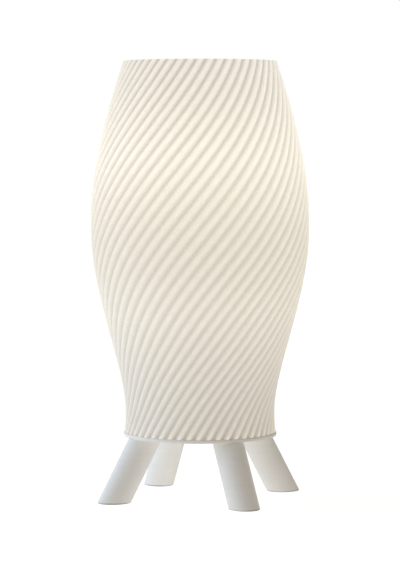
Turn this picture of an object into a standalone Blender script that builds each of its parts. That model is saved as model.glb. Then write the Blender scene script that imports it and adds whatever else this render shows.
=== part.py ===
"""Table lamp with a spiral-fluted printed shade on a round base plate with four splayed legs.

Units are metres, +Z is up, the front is -Y and the origin is on the floor under the lamp's axis.
Run with: blender --background --python part.py
"""

from math import cos, pi, radians, sin, sqrt, tan

import bmesh
import bpy
from mathutils import Vector
from mathutils.geometry import interpolate_bezier

# Clearances between pieces
SEAT_GAP = 0.0003
SLIP_FIT = 0.0005

# Shade: outline of the rib crests, measured up from its lower edge
SHADE_HEIGHT = 0.2715
FOOT_RADIUS = 0.0557
WAIST_RADIUS = 0.0549
WAIST_HEIGHT = 0.0150
BELLY_RADIUS = 0.0800
BELLY_HEIGHT = 0.1470
RIM_RADIUS = 0.0562
RIM_LEAN = radians(17.8)
FOOT_HANDLE = 0.0075
WAIST_HANDLE = 0.0310
BELLY_LOWER_HANDLE = 0.0470
BELLY_UPPER_HANDLE = 0.0310
RIM_HANDLE = 0.0715
SHADE_WALL = 0.0014

# Shade: spiral ribs
RIB_COUNT = 49
RIB_DEPTH = 0.0015
RIB_LAND = 0.40  # share of the rib pitch that lies at full radius
RIB_START = radians(6.0)
SHADE_TWIST = radians(156.6)
FOOT_TURN = radians(-5.7)
FOOT_TURN_HEIGHT = 0.074
RIM_TURN = radians(1.4)
RIM_TURN_HEIGHT = 0.086

# Base plate
PLATE_THICKNESS = 0.0024
PLATE_LIP = 0.0006
PLATE_EDGE_BREAK = 0.0005
RING_HEIGHT = 0.0050
RING_WALL = 0.0020
RING_EDGE_BREAK = 0.0007
BOSS_RADIUS = 0.0150
BOSS_HEIGHT = 0.0030

# Legs
LEG_HEIGHT = 0.0460
LEG_RADIUS = 0.0110
LEG_SPLAY = radians(29.2)
LEG_OVERHANG = 0.0005
LEG_FOOT_BREAK = 0.0008
LEG_BEARINGS = {
    "front_left": radians(225),
    "front_right": radians(315),
    "back_right": radians(45),
    "back_left": radians(135),
}

# Leg screws and the threaded inserts set into the leg tops
SCREW_RADIUS = 0.0020
SCREW_LENGTH = 0.0100
SCREW_HEAD_RADIUS = 0.0037
SCREW_HEAD_HEIGHT = 0.0024
SCREW_HEAD_TAPER = 0.0010
SCREW_SOCKET_FLATS = 0.0025
SCREW_SOCKET_DEPTH = 0.0014
INSERT_LENGTH = 0.0080
INSERT_WALL = 0.0011
INSERT_GROOVE = 0.0004

# Stem, its nuts and washer, and the cord's bush
STEM_RADIUS = 0.0050
STEM_BORE_RADIUS = 0.0038
STEM_BELOW_NUT = 0.0004
HOLDER_RISE = 0.0400
NUT_FLATS = 0.0150
NUT_HEIGHT = 0.0040
LOWER_NUT_HEIGHT = 0.0026
NUT_CHAMFER = 0.0006
WASHER_RADIUS = 0.0105
WASHER_THICKNESS = 0.0012
BUSH_FLANGE_RADIUS = 0.0062
BUSH_FLANGE_THICKNESS = 0.0013
BUSH_WALL = 0.0008
BUSH_DEPTH = 0.0080

# Lamp holder
COLLAR_RADIUS = 0.0090
COLLAR_HEIGHT = 0.0080
CAP_HEIGHT = 0.0200
CAP_FLOOR = 0.0022
NECK_HEIGHT = 0.0050
NECK_WALL = 0.0015
SHELL_WALL = 0.0020
SHELL_LIP = 0.0018
SLEEVE_WALL = 0.0006
SLEEVE_HEIGHT = 0.0240
SLEEVE_FLOOR_WIDTH = 0.0030
SLEEVE_AIR = 0.0027
BLOCK_THICKNESS = 0.0090
BLOCK_RECESS_RADIUS = 0.0080
BLOCK_RECESS_DEPTH = 0.0015
CONTACT_THICKNESS = 0.0005
CONTACT_WIDTH = 0.0050
CONTACT_RISE = 0.0040
CONTACT_EDGE_GAP = 0.0024
CONTACT_CROWN = 0.0019
TERMINAL_RADIUS = 0.0015
TERMINAL_LENGTH = 0.0045
TERMINAL_HEAD_RADIUS = 0.0027
TERMINAL_HEAD_HEIGHT = 0.0018
TERMINAL_SPACING = 0.0180

# Bulb, measured up from its tip contact
TIP_RADIUS = 0.0045
TIP_HEIGHT = 0.0016
TIP_SHOULDER_WIDTH = 0.0013
TIP_SHOULDER_RISE = 0.0004
INSULATOR_HEIGHT = 0.0042
INSULATOR_LAND = 0.0010
BULB_CAP_RADIUS = 0.0131
BULB_CAP_HEIGHT = 0.0200
BULB_CAP_WALL = 0.0005
HOUSING_WALL = 0.0016
HOUSING_FLARE_WALL = 0.0021
HOUSING_PLUG = 0.0110
HOUSING_SHOULDER = 0.0010
HOUSING_HEIGHT = 0.0305
HOUSING_RIM_RADIUS = 0.0275
HOUSING_LEDGE = 0.0022
GLOBE_SWELL = 0.0025
GLOBE_SKIRT = 0.0100
GLOBE_WALL = 0.0012
LED_BOARD_THICKNESS = 0.0016
DRIVER_THICKNESS = 0.0016

# Facets
FOOT_STEPS = 1
LOWER_STEPS = 8
UPPER_STEPS = 7
SIDES_PLATE = 40
SIDES_LEG = 20
SIDES_BULB = 18
SIDES_TUBE = 16
SIDES_SMALL = 12
GLOBE_STEPS = 5
DOME_STEPS = 2
FLARE_STEPS = 3
MERGE = 1e-6
SHARP_ANGLE = radians(40)

# Places that follow from the sizes above
PLATE_RADIUS = FOOT_RADIUS + PLATE_LIP
PLATE_TOP = LEG_HEIGHT + PLATE_THICKNESS
SHADE_BASE = PLATE_TOP + SEAT_GAP
RING_RADIUS = min(FOOT_RADIUS, WAIST_RADIUS) - RIB_DEPTH - SHADE_WALL - SLIP_FIT
RING_INNER = RING_RADIUS - RING_WALL
LEG_HALF_WIDTH = LEG_RADIUS / cos(LEG_SPLAY)
LEG_TOP_RADIUS = PLATE_RADIUS + LEG_OVERHANG - LEG_HALF_WIDTH
LEG_TOP = LEG_HEIGHT - SEAT_GAP
SCREW_CIRCLE = min(LEG_TOP_RADIUS, RING_INNER - SCREW_HEAD_RADIUS - SLIP_FIT)
SCREW_HOLE = SCREW_RADIUS + SEAT_GAP
SCREW_SEAT = PLATE_TOP + SEAT_GAP
INSERT_RADIUS = SCREW_HOLE + INSERT_WALL
POCKET_RADIUS = INSERT_RADIUS + SEAT_GAP
POCKET_FLOOR = min(LEG_TOP - INSERT_LENGTH, SCREW_SEAT - SCREW_LENGTH) - SEAT_GAP

STEM_HOLE = STEM_RADIUS + SEAT_GAP
BOSS_TOP = PLATE_TOP + BOSS_HEIGHT
WASHER_BASE = BOSS_TOP + SEAT_GAP
STEM_NUT_BASE = WASHER_BASE + WASHER_THICKNESS + SEAT_GAP
LOWER_NUT_BASE = LEG_HEIGHT - SEAT_GAP - LOWER_NUT_HEIGHT
STEM_BOTTOM = LOWER_NUT_BASE - STEM_BELOW_NUT
HOLDER_BASE = PLATE_TOP + HOLDER_RISE
LOCK_NUT_BASE = HOLDER_BASE - SEAT_GAP - NUT_HEIGHT
STEM_TOP = HOLDER_BASE + COLLAR_HEIGHT

SLEEVE_INNER = BULB_CAP_RADIUS + SEAT_GAP
SLEEVE_OUTER = SLEEVE_INNER + SLEEVE_WALL
SHELL_INNER = SLEEVE_OUTER + SLEEVE_AIR
SHELL_OUTER = SHELL_INNER + SHELL_WALL
SHELL_MOUTH = SLEEVE_OUTER + SEAT_GAP
NECK_OUTER = SHELL_INNER - SEAT_GAP
NECK_INNER = NECK_OUTER - NECK_WALL
SHOULDER = HOLDER_BASE + CAP_HEIGHT
NECK_TOP = SHOULDER + NECK_HEIGHT
BLOCK_BASE = NECK_TOP + SEAT_GAP
BLOCK_TOP = BLOCK_BASE + BLOCK_THICKNESS
SLEEVE_BASE = BLOCK_TOP + SEAT_GAP
SLEEVE_TOP = SLEEVE_BASE + SLEEVE_HEIGHT
SHELL_TOP = SLEEVE_TOP + SEAT_GAP + SHELL_LIP
CONTACT_BASE = BLOCK_TOP - BLOCK_RECESS_DEPTH + SEAT_GAP
BULB_BASE = SLEEVE_BASE + SLEEVE_WALL + CONTACT_RISE

INSULATOR_BASE = TIP_HEIGHT + SEAT_GAP
CAP_BASE = INSULATOR_BASE + INSULATOR_HEIGHT + SEAT_GAP
CAP_TOP = CAP_BASE + BULB_CAP_HEIGHT
CAP_INNER = BULB_CAP_RADIUS - BULB_CAP_WALL
HOUSING_BASE = CAP_TOP + SEAT_GAP
PLUG_RADIUS = CAP_INNER - SEAT_GAP
PLUG_INNER = PLUG_RADIUS - HOUSING_WALL
HOUSING_TOP = HOUSING_BASE + HOUSING_HEIGHT
LEDGE_HEIGHT = HOUSING_TOP - LED_BOARD_THICKNESS - 2 * SEAT_GAP
LEDGE_RADIUS = HOUSING_RIM_RADIUS - HOUSING_WALL - HOUSING_LEDGE
GLOBE_BASE = HOUSING_TOP + SEAT_GAP
GLOBE_RADIUS = HOUSING_RIM_RADIUS + GLOBE_SWELL
SKIRT_DROP = sqrt(GLOBE_RADIUS**2 - HOUSING_RIM_RADIUS**2)
GLOBE_CENTRE = GLOBE_BASE + GLOBE_SKIRT + SKIRT_DROP
OUTER_RIB = ((-RIB_LAND / 2, 0.0), (RIB_LAND / 2, 0.0), (0.5, RIB_DEPTH))
INNER_RIB = ((0.0, SHADE_WALL), (0.5, SHADE_WALL + RIB_DEPTH))


def clear_scene():
    """Removes whatever the scene holds."""
    for obj in list(bpy.data.objects):
        bpy.data.objects.remove(obj, do_unlink=True)


def finish(name, colour, roughness, metallic=0.0):
    """A plain Principled material."""
    made = bpy.data.materials.new(name)
    made.use_nodes = True
    shader = made.node_tree.nodes["Principled BSDF"]
    shader.inputs["Base Color"].default_value = (*colour, 1.0)
    shader.inputs["Roughness"].default_value = roughness
    shader.inputs["Metallic"].default_value = metallic
    return made


def empty(name, parent=None, height=0.0, bearing=0.0):
    """An empty that carries other pieces, at a height on the lamp's axis."""
    obj = bpy.data.objects.new(name, None)
    bpy.context.scene.collection.objects.link(obj)
    obj.parent = parent
    obj.location.z = height
    obj.rotation_euler.z = bearing
    return obj


def mesh_from(name, form, material):
    """Turns a bmesh into a mesh with its faces out, smooth between its sharp edges."""
    bmesh.ops.recalc_face_normals(form, faces=form.faces)
    mesh = bpy.data.meshes.new(name)
    form.to_mesh(mesh)
    form.free()
    mesh.materials.append(material)
    mesh.shade_smooth()
    mesh.set_sharp_from_angle(angle=SHARP_ANGLE)
    return mesh


def place(name, mesh, parent, location=(0.0, 0.0, 0.0)):
    """Puts a mesh into the scene as a piece under its parent."""
    obj = bpy.data.objects.new(name, mesh)
    bpy.context.scene.collection.objects.link(obj)
    obj.parent = parent
    obj.location = location
    return obj


def cutter(name, form, parent, location=(0.0, 0.0, 0.0)):
    """A helper solid that is only subtracted from others."""
    bmesh.ops.recalc_face_normals(form, faces=form.faces)
    mesh = bpy.data.meshes.new(name)
    form.to_mesh(mesh)
    form.free()
    obj = place(name, mesh, parent, location)
    obj.hide_render = True
    obj.display_type = "WIRE"
    return obj


def cut(obj, tool):
    """Subtracts a cutter from a piece."""
    modifier = obj.modifiers.new(tool.name, "BOOLEAN")
    modifier.operation = "DIFFERENCE"
    modifier.solver = "EXACT"
    modifier.object = tool


def turned(outline, sides):
    """A solid of revolution about Z from (radius, height) points.

    An outline that starts and ends on the axis is a solid; any other is closed into a ring.
    """
    form = bmesh.new()
    points = [form.verts.new((radius, 0.0, height)) for radius, height in outline]
    ends = points[1:] + points[:1]
    pairs = list(zip(points, ends))
    if outline[0][0] == 0.0 and outline[-1][0] == 0.0:
        pairs.pop()
    edges = [form.edges.new(pair) for pair in pairs]
    bmesh.ops.spin(
        form,
        geom=points + edges,
        cent=(0.0, 0.0, 0.0),
        axis=(0.0, 0.0, 1.0),
        angle=2 * pi,
        steps=sides,
        use_merge=True,
    )
    bmesh.ops.remove_doubles(form, verts=form.verts, dist=MERGE)
    return form


def bridge(form, lower, upper):
    """A band of faces between two rings of like counts."""
    for corners in zip(lower, lower[1:] + lower[:1], upper[1:] + upper[:1], upper):
        form.faces.new(corners)


def skinned(rings, capped=True):
    """A solid through rings of like counts: capped at both ends, or bent round into a loop."""
    form = bmesh.new()
    rows = [[form.verts.new(point) for point in ring] for ring in rings]
    following = rows[1:] if capped else rows[1:] + rows[:1]
    for lower, upper in zip(rows, following):
        bridge(form, lower, upper)
    if capped:
        form.faces.new(rows[0])
        form.faces.new(rows[-1])
    return form


def circle(radius, height, sides):
    """A ring of points about Z."""
    steps = [2 * pi * side / sides for side in range(sides)]
    return [(radius * cos(angle), radius * sin(angle), height) for angle in steps]


def hexagon(flats, height, sides):
    """A ring of points on a hexagon about Z, with points at its corners and mid-sides."""
    ring = []
    for side in range(sides):
        angle = 2 * pi * side / sides
        from_flat = (angle % (pi / 3)) - pi / 6
        radius = flats / 2 / cos(from_flat)
        ring.append((radius * cos(angle), radius * sin(angle), height))
    return ring


def shade_stations():
    """(height, crest radius) points up the shade, along one Bezier piece for each stretch."""
    foot = Vector((0.0, FOOT_RADIUS))
    waist = Vector((WAIST_HEIGHT, WAIST_RADIUS))
    belly = Vector((BELLY_HEIGHT, BELLY_RADIUS))
    rim = Vector((SHADE_HEIGHT, RIM_RADIUS))
    up = Vector((1.0, 0.0))
    rim_pull = RIM_HANDLE * Vector((-cos(RIM_LEAN), sin(RIM_LEAN)))
    before_waist = waist - FOOT_HANDLE * up
    stretches = (
        (foot, foot.lerp(before_waist, 0.5), before_waist, waist, FOOT_STEPS),
        (waist, waist + WAIST_HANDLE * up, belly - BELLY_LOWER_HANDLE * up, belly, LOWER_STEPS),
        (belly, belly + BELLY_UPPER_HANDLE * up, rim + rim_pull, rim, UPPER_STEPS),
    )
    stations = [foot]
    for start, leaving, arriving, end, steps in stretches:
        stations += interpolate_bezier(start, leaving, arriving, end, steps + 1)[1:]
    return stations


def rib_turn(height):
    """The bearing of the first rib at a height: an even winding, turned a little near each end."""
    ends = (
        (FOOT_TURN, height / FOOT_TURN_HEIGHT),
        (RIM_TURN, (SHADE_HEIGHT - height) / RIM_TURN_HEIGHT),
    )
    turn = RIB_START + SHADE_TWIST * height / SHADE_HEIGHT
    for end_turn, distance in ends:
        share = max(0.0, 1.0 - distance)
        turn += end_turn * share**2 * (3.0 - 2.0 * share)
    return turn


def rib_ring(height, crest_radius, rib_points):
    """One level of the fluted wall. A rib's points are (share of the pitch, drop from the crest)."""
    turn = rib_turn(height)
    ring = []
    for rib in range(RIB_COUNT):
        for phase, drop in rib_points:
            angle = turn + 2 * pi * (rib + phase) / RIB_COUNT
            radius = crest_radius - drop
            ring.append((radius * cos(angle), radius * sin(angle), height))
    return ring


def rib_wall(form, rib_points):
    """A twisted fluted skin from foot to rim, given as its rows of points."""
    rows = []
    for height, radius in shade_stations():
        ring = rib_ring(height, radius, rib_points)
        rows.append([form.verts.new(point) for point in ring])
    for lower, upper in zip(rows, rows[1:]):
        bridge(form, lower, upper)
    return rows


def rib_edge(form, outer, inner):
    """The flat scalloped edge that joins the outer and inner skins at one end, rib by rib."""
    for rib in range(RIB_COUNT):
        left, right, groove = outer[3 * rib : 3 * rib + 3]
        crest, hollow = inner[2 * rib : 2 * rib + 2]
        next_left = outer[(3 * rib + 3) % len(outer)]
        next_crest = inner[(2 * rib + 2) % len(inner)]
        form.faces.new((left, right, crest))
        form.faces.new((right, groove, hollow, crest))
        form.faces.new((groove, next_left, next_crest, hollow))


def make_shade(parent, printed):
    """The spiral-fluted shell, open at its top and bottom."""
    form = bmesh.new()
    outer = rib_wall(form, OUTER_RIB)
    inner = rib_wall(form, INNER_RIB)
    rib_edge(form, outer[0], inner[0])
    rib_edge(form, outer[-1], inner[-1])
    place("shade", mesh_from("shade", form, printed), parent)


def make_base_plate(parent, printed):
    """The round plate with its locating ring, stem boss, stem hole and screw holes."""
    outline = [
        (STEM_HOLE, BOSS_TOP),
        (BOSS_RADIUS, BOSS_TOP),
        (BOSS_RADIUS + BOSS_HEIGHT, PLATE_TOP),
        (RING_INNER, PLATE_TOP),
        (RING_INNER, PLATE_TOP + RING_HEIGHT),
        (RING_RADIUS - RING_EDGE_BREAK, PLATE_TOP + RING_HEIGHT),
        (RING_RADIUS, PLATE_TOP + RING_HEIGHT - RING_EDGE_BREAK),
        (RING_RADIUS, PLATE_TOP),
        (PLATE_RADIUS - PLATE_EDGE_BREAK, PLATE_TOP),
        (PLATE_RADIUS, PLATE_TOP - PLATE_EDGE_BREAK),
        (PLATE_RADIUS, LEG_HEIGHT + PLATE_EDGE_BREAK),
        (PLATE_RADIUS - PLATE_EDGE_BREAK, LEG_HEIGHT),
        (STEM_HOLE, LEG_HEIGHT),
    ]
    mesh = mesh_from("base_plate", turned(outline, SIDES_PLATE), printed)
    plate = place("base_plate", mesh, parent)
    for name, bearing in LEG_BEARINGS.items():
        hole = turned(
            [
                (0.0, PLATE_TOP + PLATE_THICKNESS),
                (SCREW_HOLE, PLATE_TOP + PLATE_THICKNESS),
                (SCREW_HOLE, LEG_HEIGHT - PLATE_THICKNESS),
                (0.0, LEG_HEIGHT - PLATE_THICKNESS),
            ],
            SIDES_SMALL,
        )
        where = (SCREW_CIRCLE * cos(bearing), SCREW_CIRCLE * sin(bearing), 0.0)
        cut(plate, cutter(f"screw_hole_{name}", hole, parent, where))


def leg_ring(height, inset):
    """A level slice of a round leg that leans outwards along +X."""
    along = LEG_TOP_RADIUS + (LEG_HEIGHT - height) * tan(LEG_SPLAY)
    ring = []
    for x, y, level in circle(1.0, height, SIDES_LEG):
        ring.append((along + (LEG_HALF_WIDTH - inset) * x, (LEG_RADIUS - inset) * y, level))
    return ring


def make_leg_mesh(printed):
    """A leaning round leg: flat foot with a broken edge, flat top with the insert's pocket."""
    rings = [
        leg_ring(0.0, LEG_FOOT_BREAK),
        leg_ring(LEG_FOOT_BREAK, 0.0),
        leg_ring(LEG_TOP, 0.0),
    ]
    for height in (LEG_TOP, POCKET_FLOOR):
        rings.append(
            [
                (SCREW_CIRCLE + x, y, level)
                for x, y, level in circle(POCKET_RADIUS, height, SIDES_LEG)
            ]
        )
    return mesh_from("leg", skinned(rings), printed)


def make_insert_mesh(brass):
    """A threaded insert with a waist groove between its two gripping bands."""
    outline = [
        (SCREW_HOLE, 0.0),
        (INSERT_RADIUS, 0.0),
        (INSERT_RADIUS - INSERT_GROOVE, -INSERT_LENGTH / 2),
        (INSERT_RADIUS, -INSERT_LENGTH),
        (SCREW_HOLE, -INSERT_LENGTH),
    ]
    return mesh_from("leg_insert", turned(outline, SIDES_SMALL), brass)


def make_screw_mesh(steel):
    """A socket-head screw with a tapered head that seats at height zero."""
    rings = [
        circle(SCREW_RADIUS, -SCREW_LENGTH, SIDES_SMALL),
        circle(SCREW_RADIUS, 0.0, SIDES_SMALL),
        circle(SCREW_HEAD_RADIUS, 0.0, SIDES_SMALL),
        circle(SCREW_HEAD_RADIUS - SCREW_HEAD_TAPER, SCREW_HEAD_HEIGHT, SIDES_SMALL),
        hexagon(SCREW_SOCKET_FLATS, SCREW_HEAD_HEIGHT, SIDES_SMALL),
        hexagon(SCREW_SOCKET_FLATS, SCREW_HEAD_HEIGHT - SCREW_SOCKET_DEPTH, SIDES_SMALL),
    ]
    return mesh_from("leg_screw", skinned(rings), steel)


def make_legs(parent, printed, brass, steel):
    """Four legs on their bearings, each with its insert and the screw that holds it."""
    leg = make_leg_mesh(printed)
    insert = make_insert_mesh(brass)
    screw = make_screw_mesh(steel)
    for name, bearing in LEG_BEARINGS.items():
        socket = empty(f"leg_socket_{name}", parent, bearing=bearing)
        place(f"leg_{name}", leg, socket)
        place(f"leg_insert_{name}", insert, socket, (SCREW_CIRCLE, 0.0, LEG_TOP))
        place(f"leg_screw_{name}", screw, socket, (SCREW_CIRCLE, 0.0, SCREW_SEAT))


def nut_form(height):
    """A hexagon nut round the stem, chamfered on its upper face."""
    return skinned(
        [
            circle(STEM_HOLE, 0.0, SIDES_SMALL),
            hexagon(NUT_FLATS, 0.0, SIDES_SMALL),
            hexagon(NUT_FLATS, height - NUT_CHAMFER, SIDES_SMALL),
            circle(NUT_FLATS / 2, height, SIDES_SMALL),
            circle(STEM_HOLE, height, SIDES_SMALL),
        ],
        capped=False,
    )


def make_stem(parent, steel, moulded):
    """The hollow stem, its washer and nuts, and the bush that lines its lower end."""
    tube = [
        (STEM_BORE_RADIUS, STEM_TOP),
        (STEM_RADIUS, STEM_TOP),
        (STEM_RADIUS, STEM_BOTTOM),
        (STEM_BORE_RADIUS, STEM_BOTTOM),
    ]
    place("stem_tube", mesh_from("stem_tube", turned(tube, SIDES_TUBE), steel), parent)
    washer = [
        (STEM_HOLE, WASHER_THICKNESS),
        (WASHER_RADIUS, WASHER_THICKNESS),
        (WASHER_RADIUS, 0.0),
        (STEM_HOLE, 0.0),
    ]
    washer_mesh = mesh_from("stem_washer", turned(washer, SIDES_TUBE), steel)
    place("stem_washer", washer_mesh, parent, (0.0, 0.0, WASHER_BASE))
    nuts = (
        ("stem_upper_nut", NUT_HEIGHT, STEM_NUT_BASE),
        ("stem_lower_nut", LOWER_NUT_HEIGHT, LOWER_NUT_BASE),
        ("holder_lock_nut", NUT_HEIGHT, LOCK_NUT_BASE),
    )
    for name, height, base in nuts:
        place(name, mesh_from(name, nut_form(height), steel), parent, (0.0, 0.0, base))
    spigot = STEM_BORE_RADIUS - SEAT_GAP
    flange_top = STEM_BOTTOM - SEAT_GAP
    bush = [
        (spigot - BUSH_WALL, flange_top + BUSH_DEPTH),
        (spigot, flange_top + BUSH_DEPTH),
        (spigot, flange_top),
        (BUSH_FLANGE_RADIUS, flange_top),
        (BUSH_FLANGE_RADIUS, flange_top - BUSH_FLANGE_THICKNESS / 2),
        (spigot + BUSH_WALL / 2, flange_top - BUSH_FLANGE_THICKNESS),
        (spigot - BUSH_WALL / 2, flange_top - BUSH_FLANGE_THICKNESS),
        (spigot - BUSH_WALL, flange_top - BUSH_FLANGE_THICKNESS / 2),
    ]
    place("cord_bush", mesh_from("cord_bush", turned(bush, SIDES_SMALL), moulded), parent)


def make_holder_cap(parent, moulded):
    """The domed lower half of the lamp holder, with its threaded collar and neck."""
    dome_rise = CAP_HEIGHT - COLLAR_HEIGHT
    dome_width = SHELL_OUTER - COLLAR_RADIUS
    floor = HOLDER_BASE + COLLAR_HEIGHT + CAP_FLOOR
    dome_turns = [pi / 2 * step / DOME_STEPS for step in range(DOME_STEPS + 1)]
    dome = [
        (
            COLLAR_RADIUS + dome_width * sin(turn),
            HOLDER_BASE + COLLAR_HEIGHT + dome_rise / 2 * (1 - cos(turn)),
        )
        for turn in dome_turns
    ]
    outline = [
        (STEM_HOLE, floor),
        (NECK_INNER - dome_rise / 2, floor),
        (NECK_INNER, floor + dome_rise / 2),
        (NECK_INNER, NECK_TOP),
        (NECK_OUTER, NECK_TOP),
        (NECK_OUTER, SHOULDER),
        (SHELL_OUTER, SHOULDER),
        *reversed(dome),
        (COLLAR_RADIUS, HOLDER_BASE),
        (STEM_HOLE, HOLDER_BASE),
    ]
    place("holder_cap", mesh_from("holder_cap", turned(outline, SIDES_BULB), moulded), parent)


def make_contact_block(parent, ceramic, brass):
    """The insulating block with its contact recess, and the two terminal screws below it."""
    outline = [
        (0.0, BLOCK_TOP - BLOCK_RECESS_DEPTH),
        (BLOCK_RECESS_RADIUS, BLOCK_TOP - BLOCK_RECESS_DEPTH),
        (BLOCK_RECESS_RADIUS, BLOCK_TOP),
        (NECK_OUTER, BLOCK_TOP),
        (NECK_OUTER, BLOCK_BASE),
        (0.0, BLOCK_BASE),
    ]
    mesh = mesh_from("holder_block", turned(outline, SIDES_BULB), ceramic)
    block = place("holder_block", mesh, parent)
    hole_radius = TERMINAL_RADIUS + SEAT_GAP
    hole_top = BLOCK_BASE + TERMINAL_LENGTH
    screw_rings = [
        circle(TERMINAL_RADIUS, TERMINAL_LENGTH, SIDES_SMALL),
        circle(TERMINAL_RADIUS, 0.0, SIDES_SMALL),
        circle(TERMINAL_HEAD_RADIUS, 0.0, SIDES_SMALL),
        circle(TERMINAL_HEAD_RADIUS, -TERMINAL_HEAD_HEIGHT, SIDES_SMALL),
    ]
    screw = mesh_from("holder_terminal", skinned(screw_rings), brass)
    for name, side in (("left", -1), ("right", 1)):
        where = (side * TERMINAL_SPACING / 2, 0.0, 0.0)
        hole = turned(
            [
                (0.0, hole_top),
                (hole_radius, hole_top),
                (hole_radius, BLOCK_BASE - TERMINAL_LENGTH),
                (0.0, BLOCK_BASE - TERMINAL_LENGTH),
            ],
            SIDES_SMALL,
        )
        cut(block, cutter(f"terminal_hole_{name}", hole, parent, where))
        seat = (where[0], where[1], BLOCK_BASE - SEAT_GAP)
        place(f"holder_terminal_{name}", screw, parent, seat)


def make_screw_sleeve(parent, brass):
    """The brass sleeve that the bulb's cap turns into, with a floor ring on the block."""
    outline = [
        (SLEEVE_INNER, SLEEVE_TOP),
        (SLEEVE_OUTER, SLEEVE_TOP),
        (SLEEVE_OUTER, SLEEVE_BASE),
        (SLEEVE_INNER - SLEEVE_FLOOR_WIDTH, SLEEVE_BASE),
        (SLEEVE_INNER - SLEEVE_FLOOR_WIDTH, SLEEVE_BASE + SLEEVE_WALL),
        (SLEEVE_INNER, SLEEVE_BASE + SLEEVE_WALL),
    ]
    place("holder_sleeve", mesh_from("holder_sleeve", turned(outline, SIDES_BULB), brass), parent)


def make_centre_contact(parent, brass):
    """The sprung centre contact: a strip folded up from its seat to the bulb's tip."""
    reach = BLOCK_RECESS_RADIUS - CONTACT_EDGE_GAP
    top = BULB_BASE - SEAT_GAP
    side = [
        (-reach, CONTACT_BASE),
        (reach, CONTACT_BASE),
        (reach, CONTACT_BASE + CONTACT_THICKNESS),
        (CONTACT_THICKNESS - reach, CONTACT_BASE + CONTACT_THICKNESS),
        (CONTACT_CROWN, top - CONTACT_THICKNESS),
        (reach, top - 2 * CONTACT_THICKNESS),
        (reach, top - CONTACT_THICKNESS),
        (CONTACT_CROWN, top),
        (-CONTACT_CROWN, top),
        (-reach, CONTACT_BASE + 2 * CONTACT_THICKNESS),
    ]
    form = bmesh.new()
    half = CONTACT_WIDTH / 2
    face = form.faces.new([form.verts.new((x, -half, z)) for x, z in side])
    raised = bmesh.ops.extrude_face_region(form, geom=[face])["geom"]
    moved = [part for part in raised if isinstance(part, bmesh.types.BMVert)]
    bmesh.ops.translate(form, verts=moved, vec=(0.0, CONTACT_WIDTH, 0.0))
    place("holder_contact", mesh_from("holder_contact", form, brass), parent)


def make_holder_shell(parent, moulded):
    """The upper half of the lamp holder: a plain skirt with a lip round the bulb's cap."""
    base = SHOULDER + SEAT_GAP
    outline = [
        (SHELL_MOUTH, SHELL_TOP),
        (SHELL_OUTER - SHELL_LIP, SHELL_TOP),
        (SHELL_OUTER, SHELL_TOP - SHELL_LIP),
        (SHELL_OUTER, base),
        (SHELL_INNER, base),
        (SHELL_INNER, SHELL_TOP - SHELL_LIP),
        (SHELL_MOUTH, SHELL_TOP - SHELL_LIP),
    ]
    place("holder_shell", mesh_from("holder_shell", turned(outline, SIDES_BULB), moulded), parent)


def make_bulb_cap(parent, nickel, black):
    """The bulb's contacts: tip, insulator and thin screw cap."""
    tip = [
        (0.0, TIP_HEIGHT),
        (TIP_RADIUS, TIP_HEIGHT),
        (TIP_RADIUS - TIP_SHOULDER_WIDTH, TIP_SHOULDER_RISE),
        (0.0, 0.0),
    ]
    place("bulb_tip", mesh_from("bulb_tip", turned(tip, SIDES_SMALL), nickel), parent)
    insulator_top = INSULATOR_BASE + INSULATOR_HEIGHT
    insulator = [
        (0.0, insulator_top),
        (CAP_INNER, insulator_top),
        (CAP_INNER, insulator_top - INSULATOR_LAND),
        (TIP_RADIUS, INSULATOR_BASE),
        (0.0, INSULATOR_BASE),
    ]
    mesh = mesh_from("bulb_insulator", turned(insulator, SIDES_BULB), black)
    place("bulb_insulator", mesh, parent)
    cap = [
        (CAP_INNER, CAP_TOP),
        (BULB_CAP_RADIUS, CAP_TOP),
        (BULB_CAP_RADIUS, CAP_BASE),
        (TIP_RADIUS, CAP_BASE),
        (TIP_RADIUS, CAP_BASE + BULB_CAP_WALL),
        (CAP_INNER, CAP_BASE + BULB_CAP_WALL),
    ]
    place("bulb_cap", mesh_from("bulb_cap", turned(cap, SIDES_BULB), nickel), parent)


def make_bulb_housing(parent, white):
    """The flared housing between the screw cap and the globe, hollow for the driver."""
    throat = BULB_CAP_RADIUS + HOUSING_SHOULDER
    flare = HOUSING_RIM_RADIUS - throat
    rim_inner = HOUSING_RIM_RADIUS - HOUSING_WALL
    steps = [step / FLARE_STEPS for step in range(FLARE_STEPS + 1)]
    outside = [
        (throat + flare * share * share * (3 - 2 * share), HOUSING_BASE + HOUSING_HEIGHT * share)
        for share in steps
    ]
    inside = [
        (radius - HOUSING_FLARE_WALL, height)
        for radius, height in outside[1:]
        if height < LEDGE_HEIGHT and radius - HOUSING_FLARE_WALL < LEDGE_RADIUS
    ]
    outline = [
        *reversed(outside),
        (PLUG_RADIUS, HOUSING_BASE),
        (PLUG_RADIUS, HOUSING_BASE - HOUSING_PLUG),
        (PLUG_INNER, HOUSING_BASE - HOUSING_PLUG),
        (PLUG_INNER, HOUSING_BASE),
        *inside,
        (LEDGE_RADIUS, LEDGE_HEIGHT),
        (rim_inner, LEDGE_HEIGHT),
        (rim_inner, HOUSING_TOP),
    ]
    place("bulb_housing", mesh_from("bulb_housing", turned(outline, SIDES_BULB), white), parent)


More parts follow.
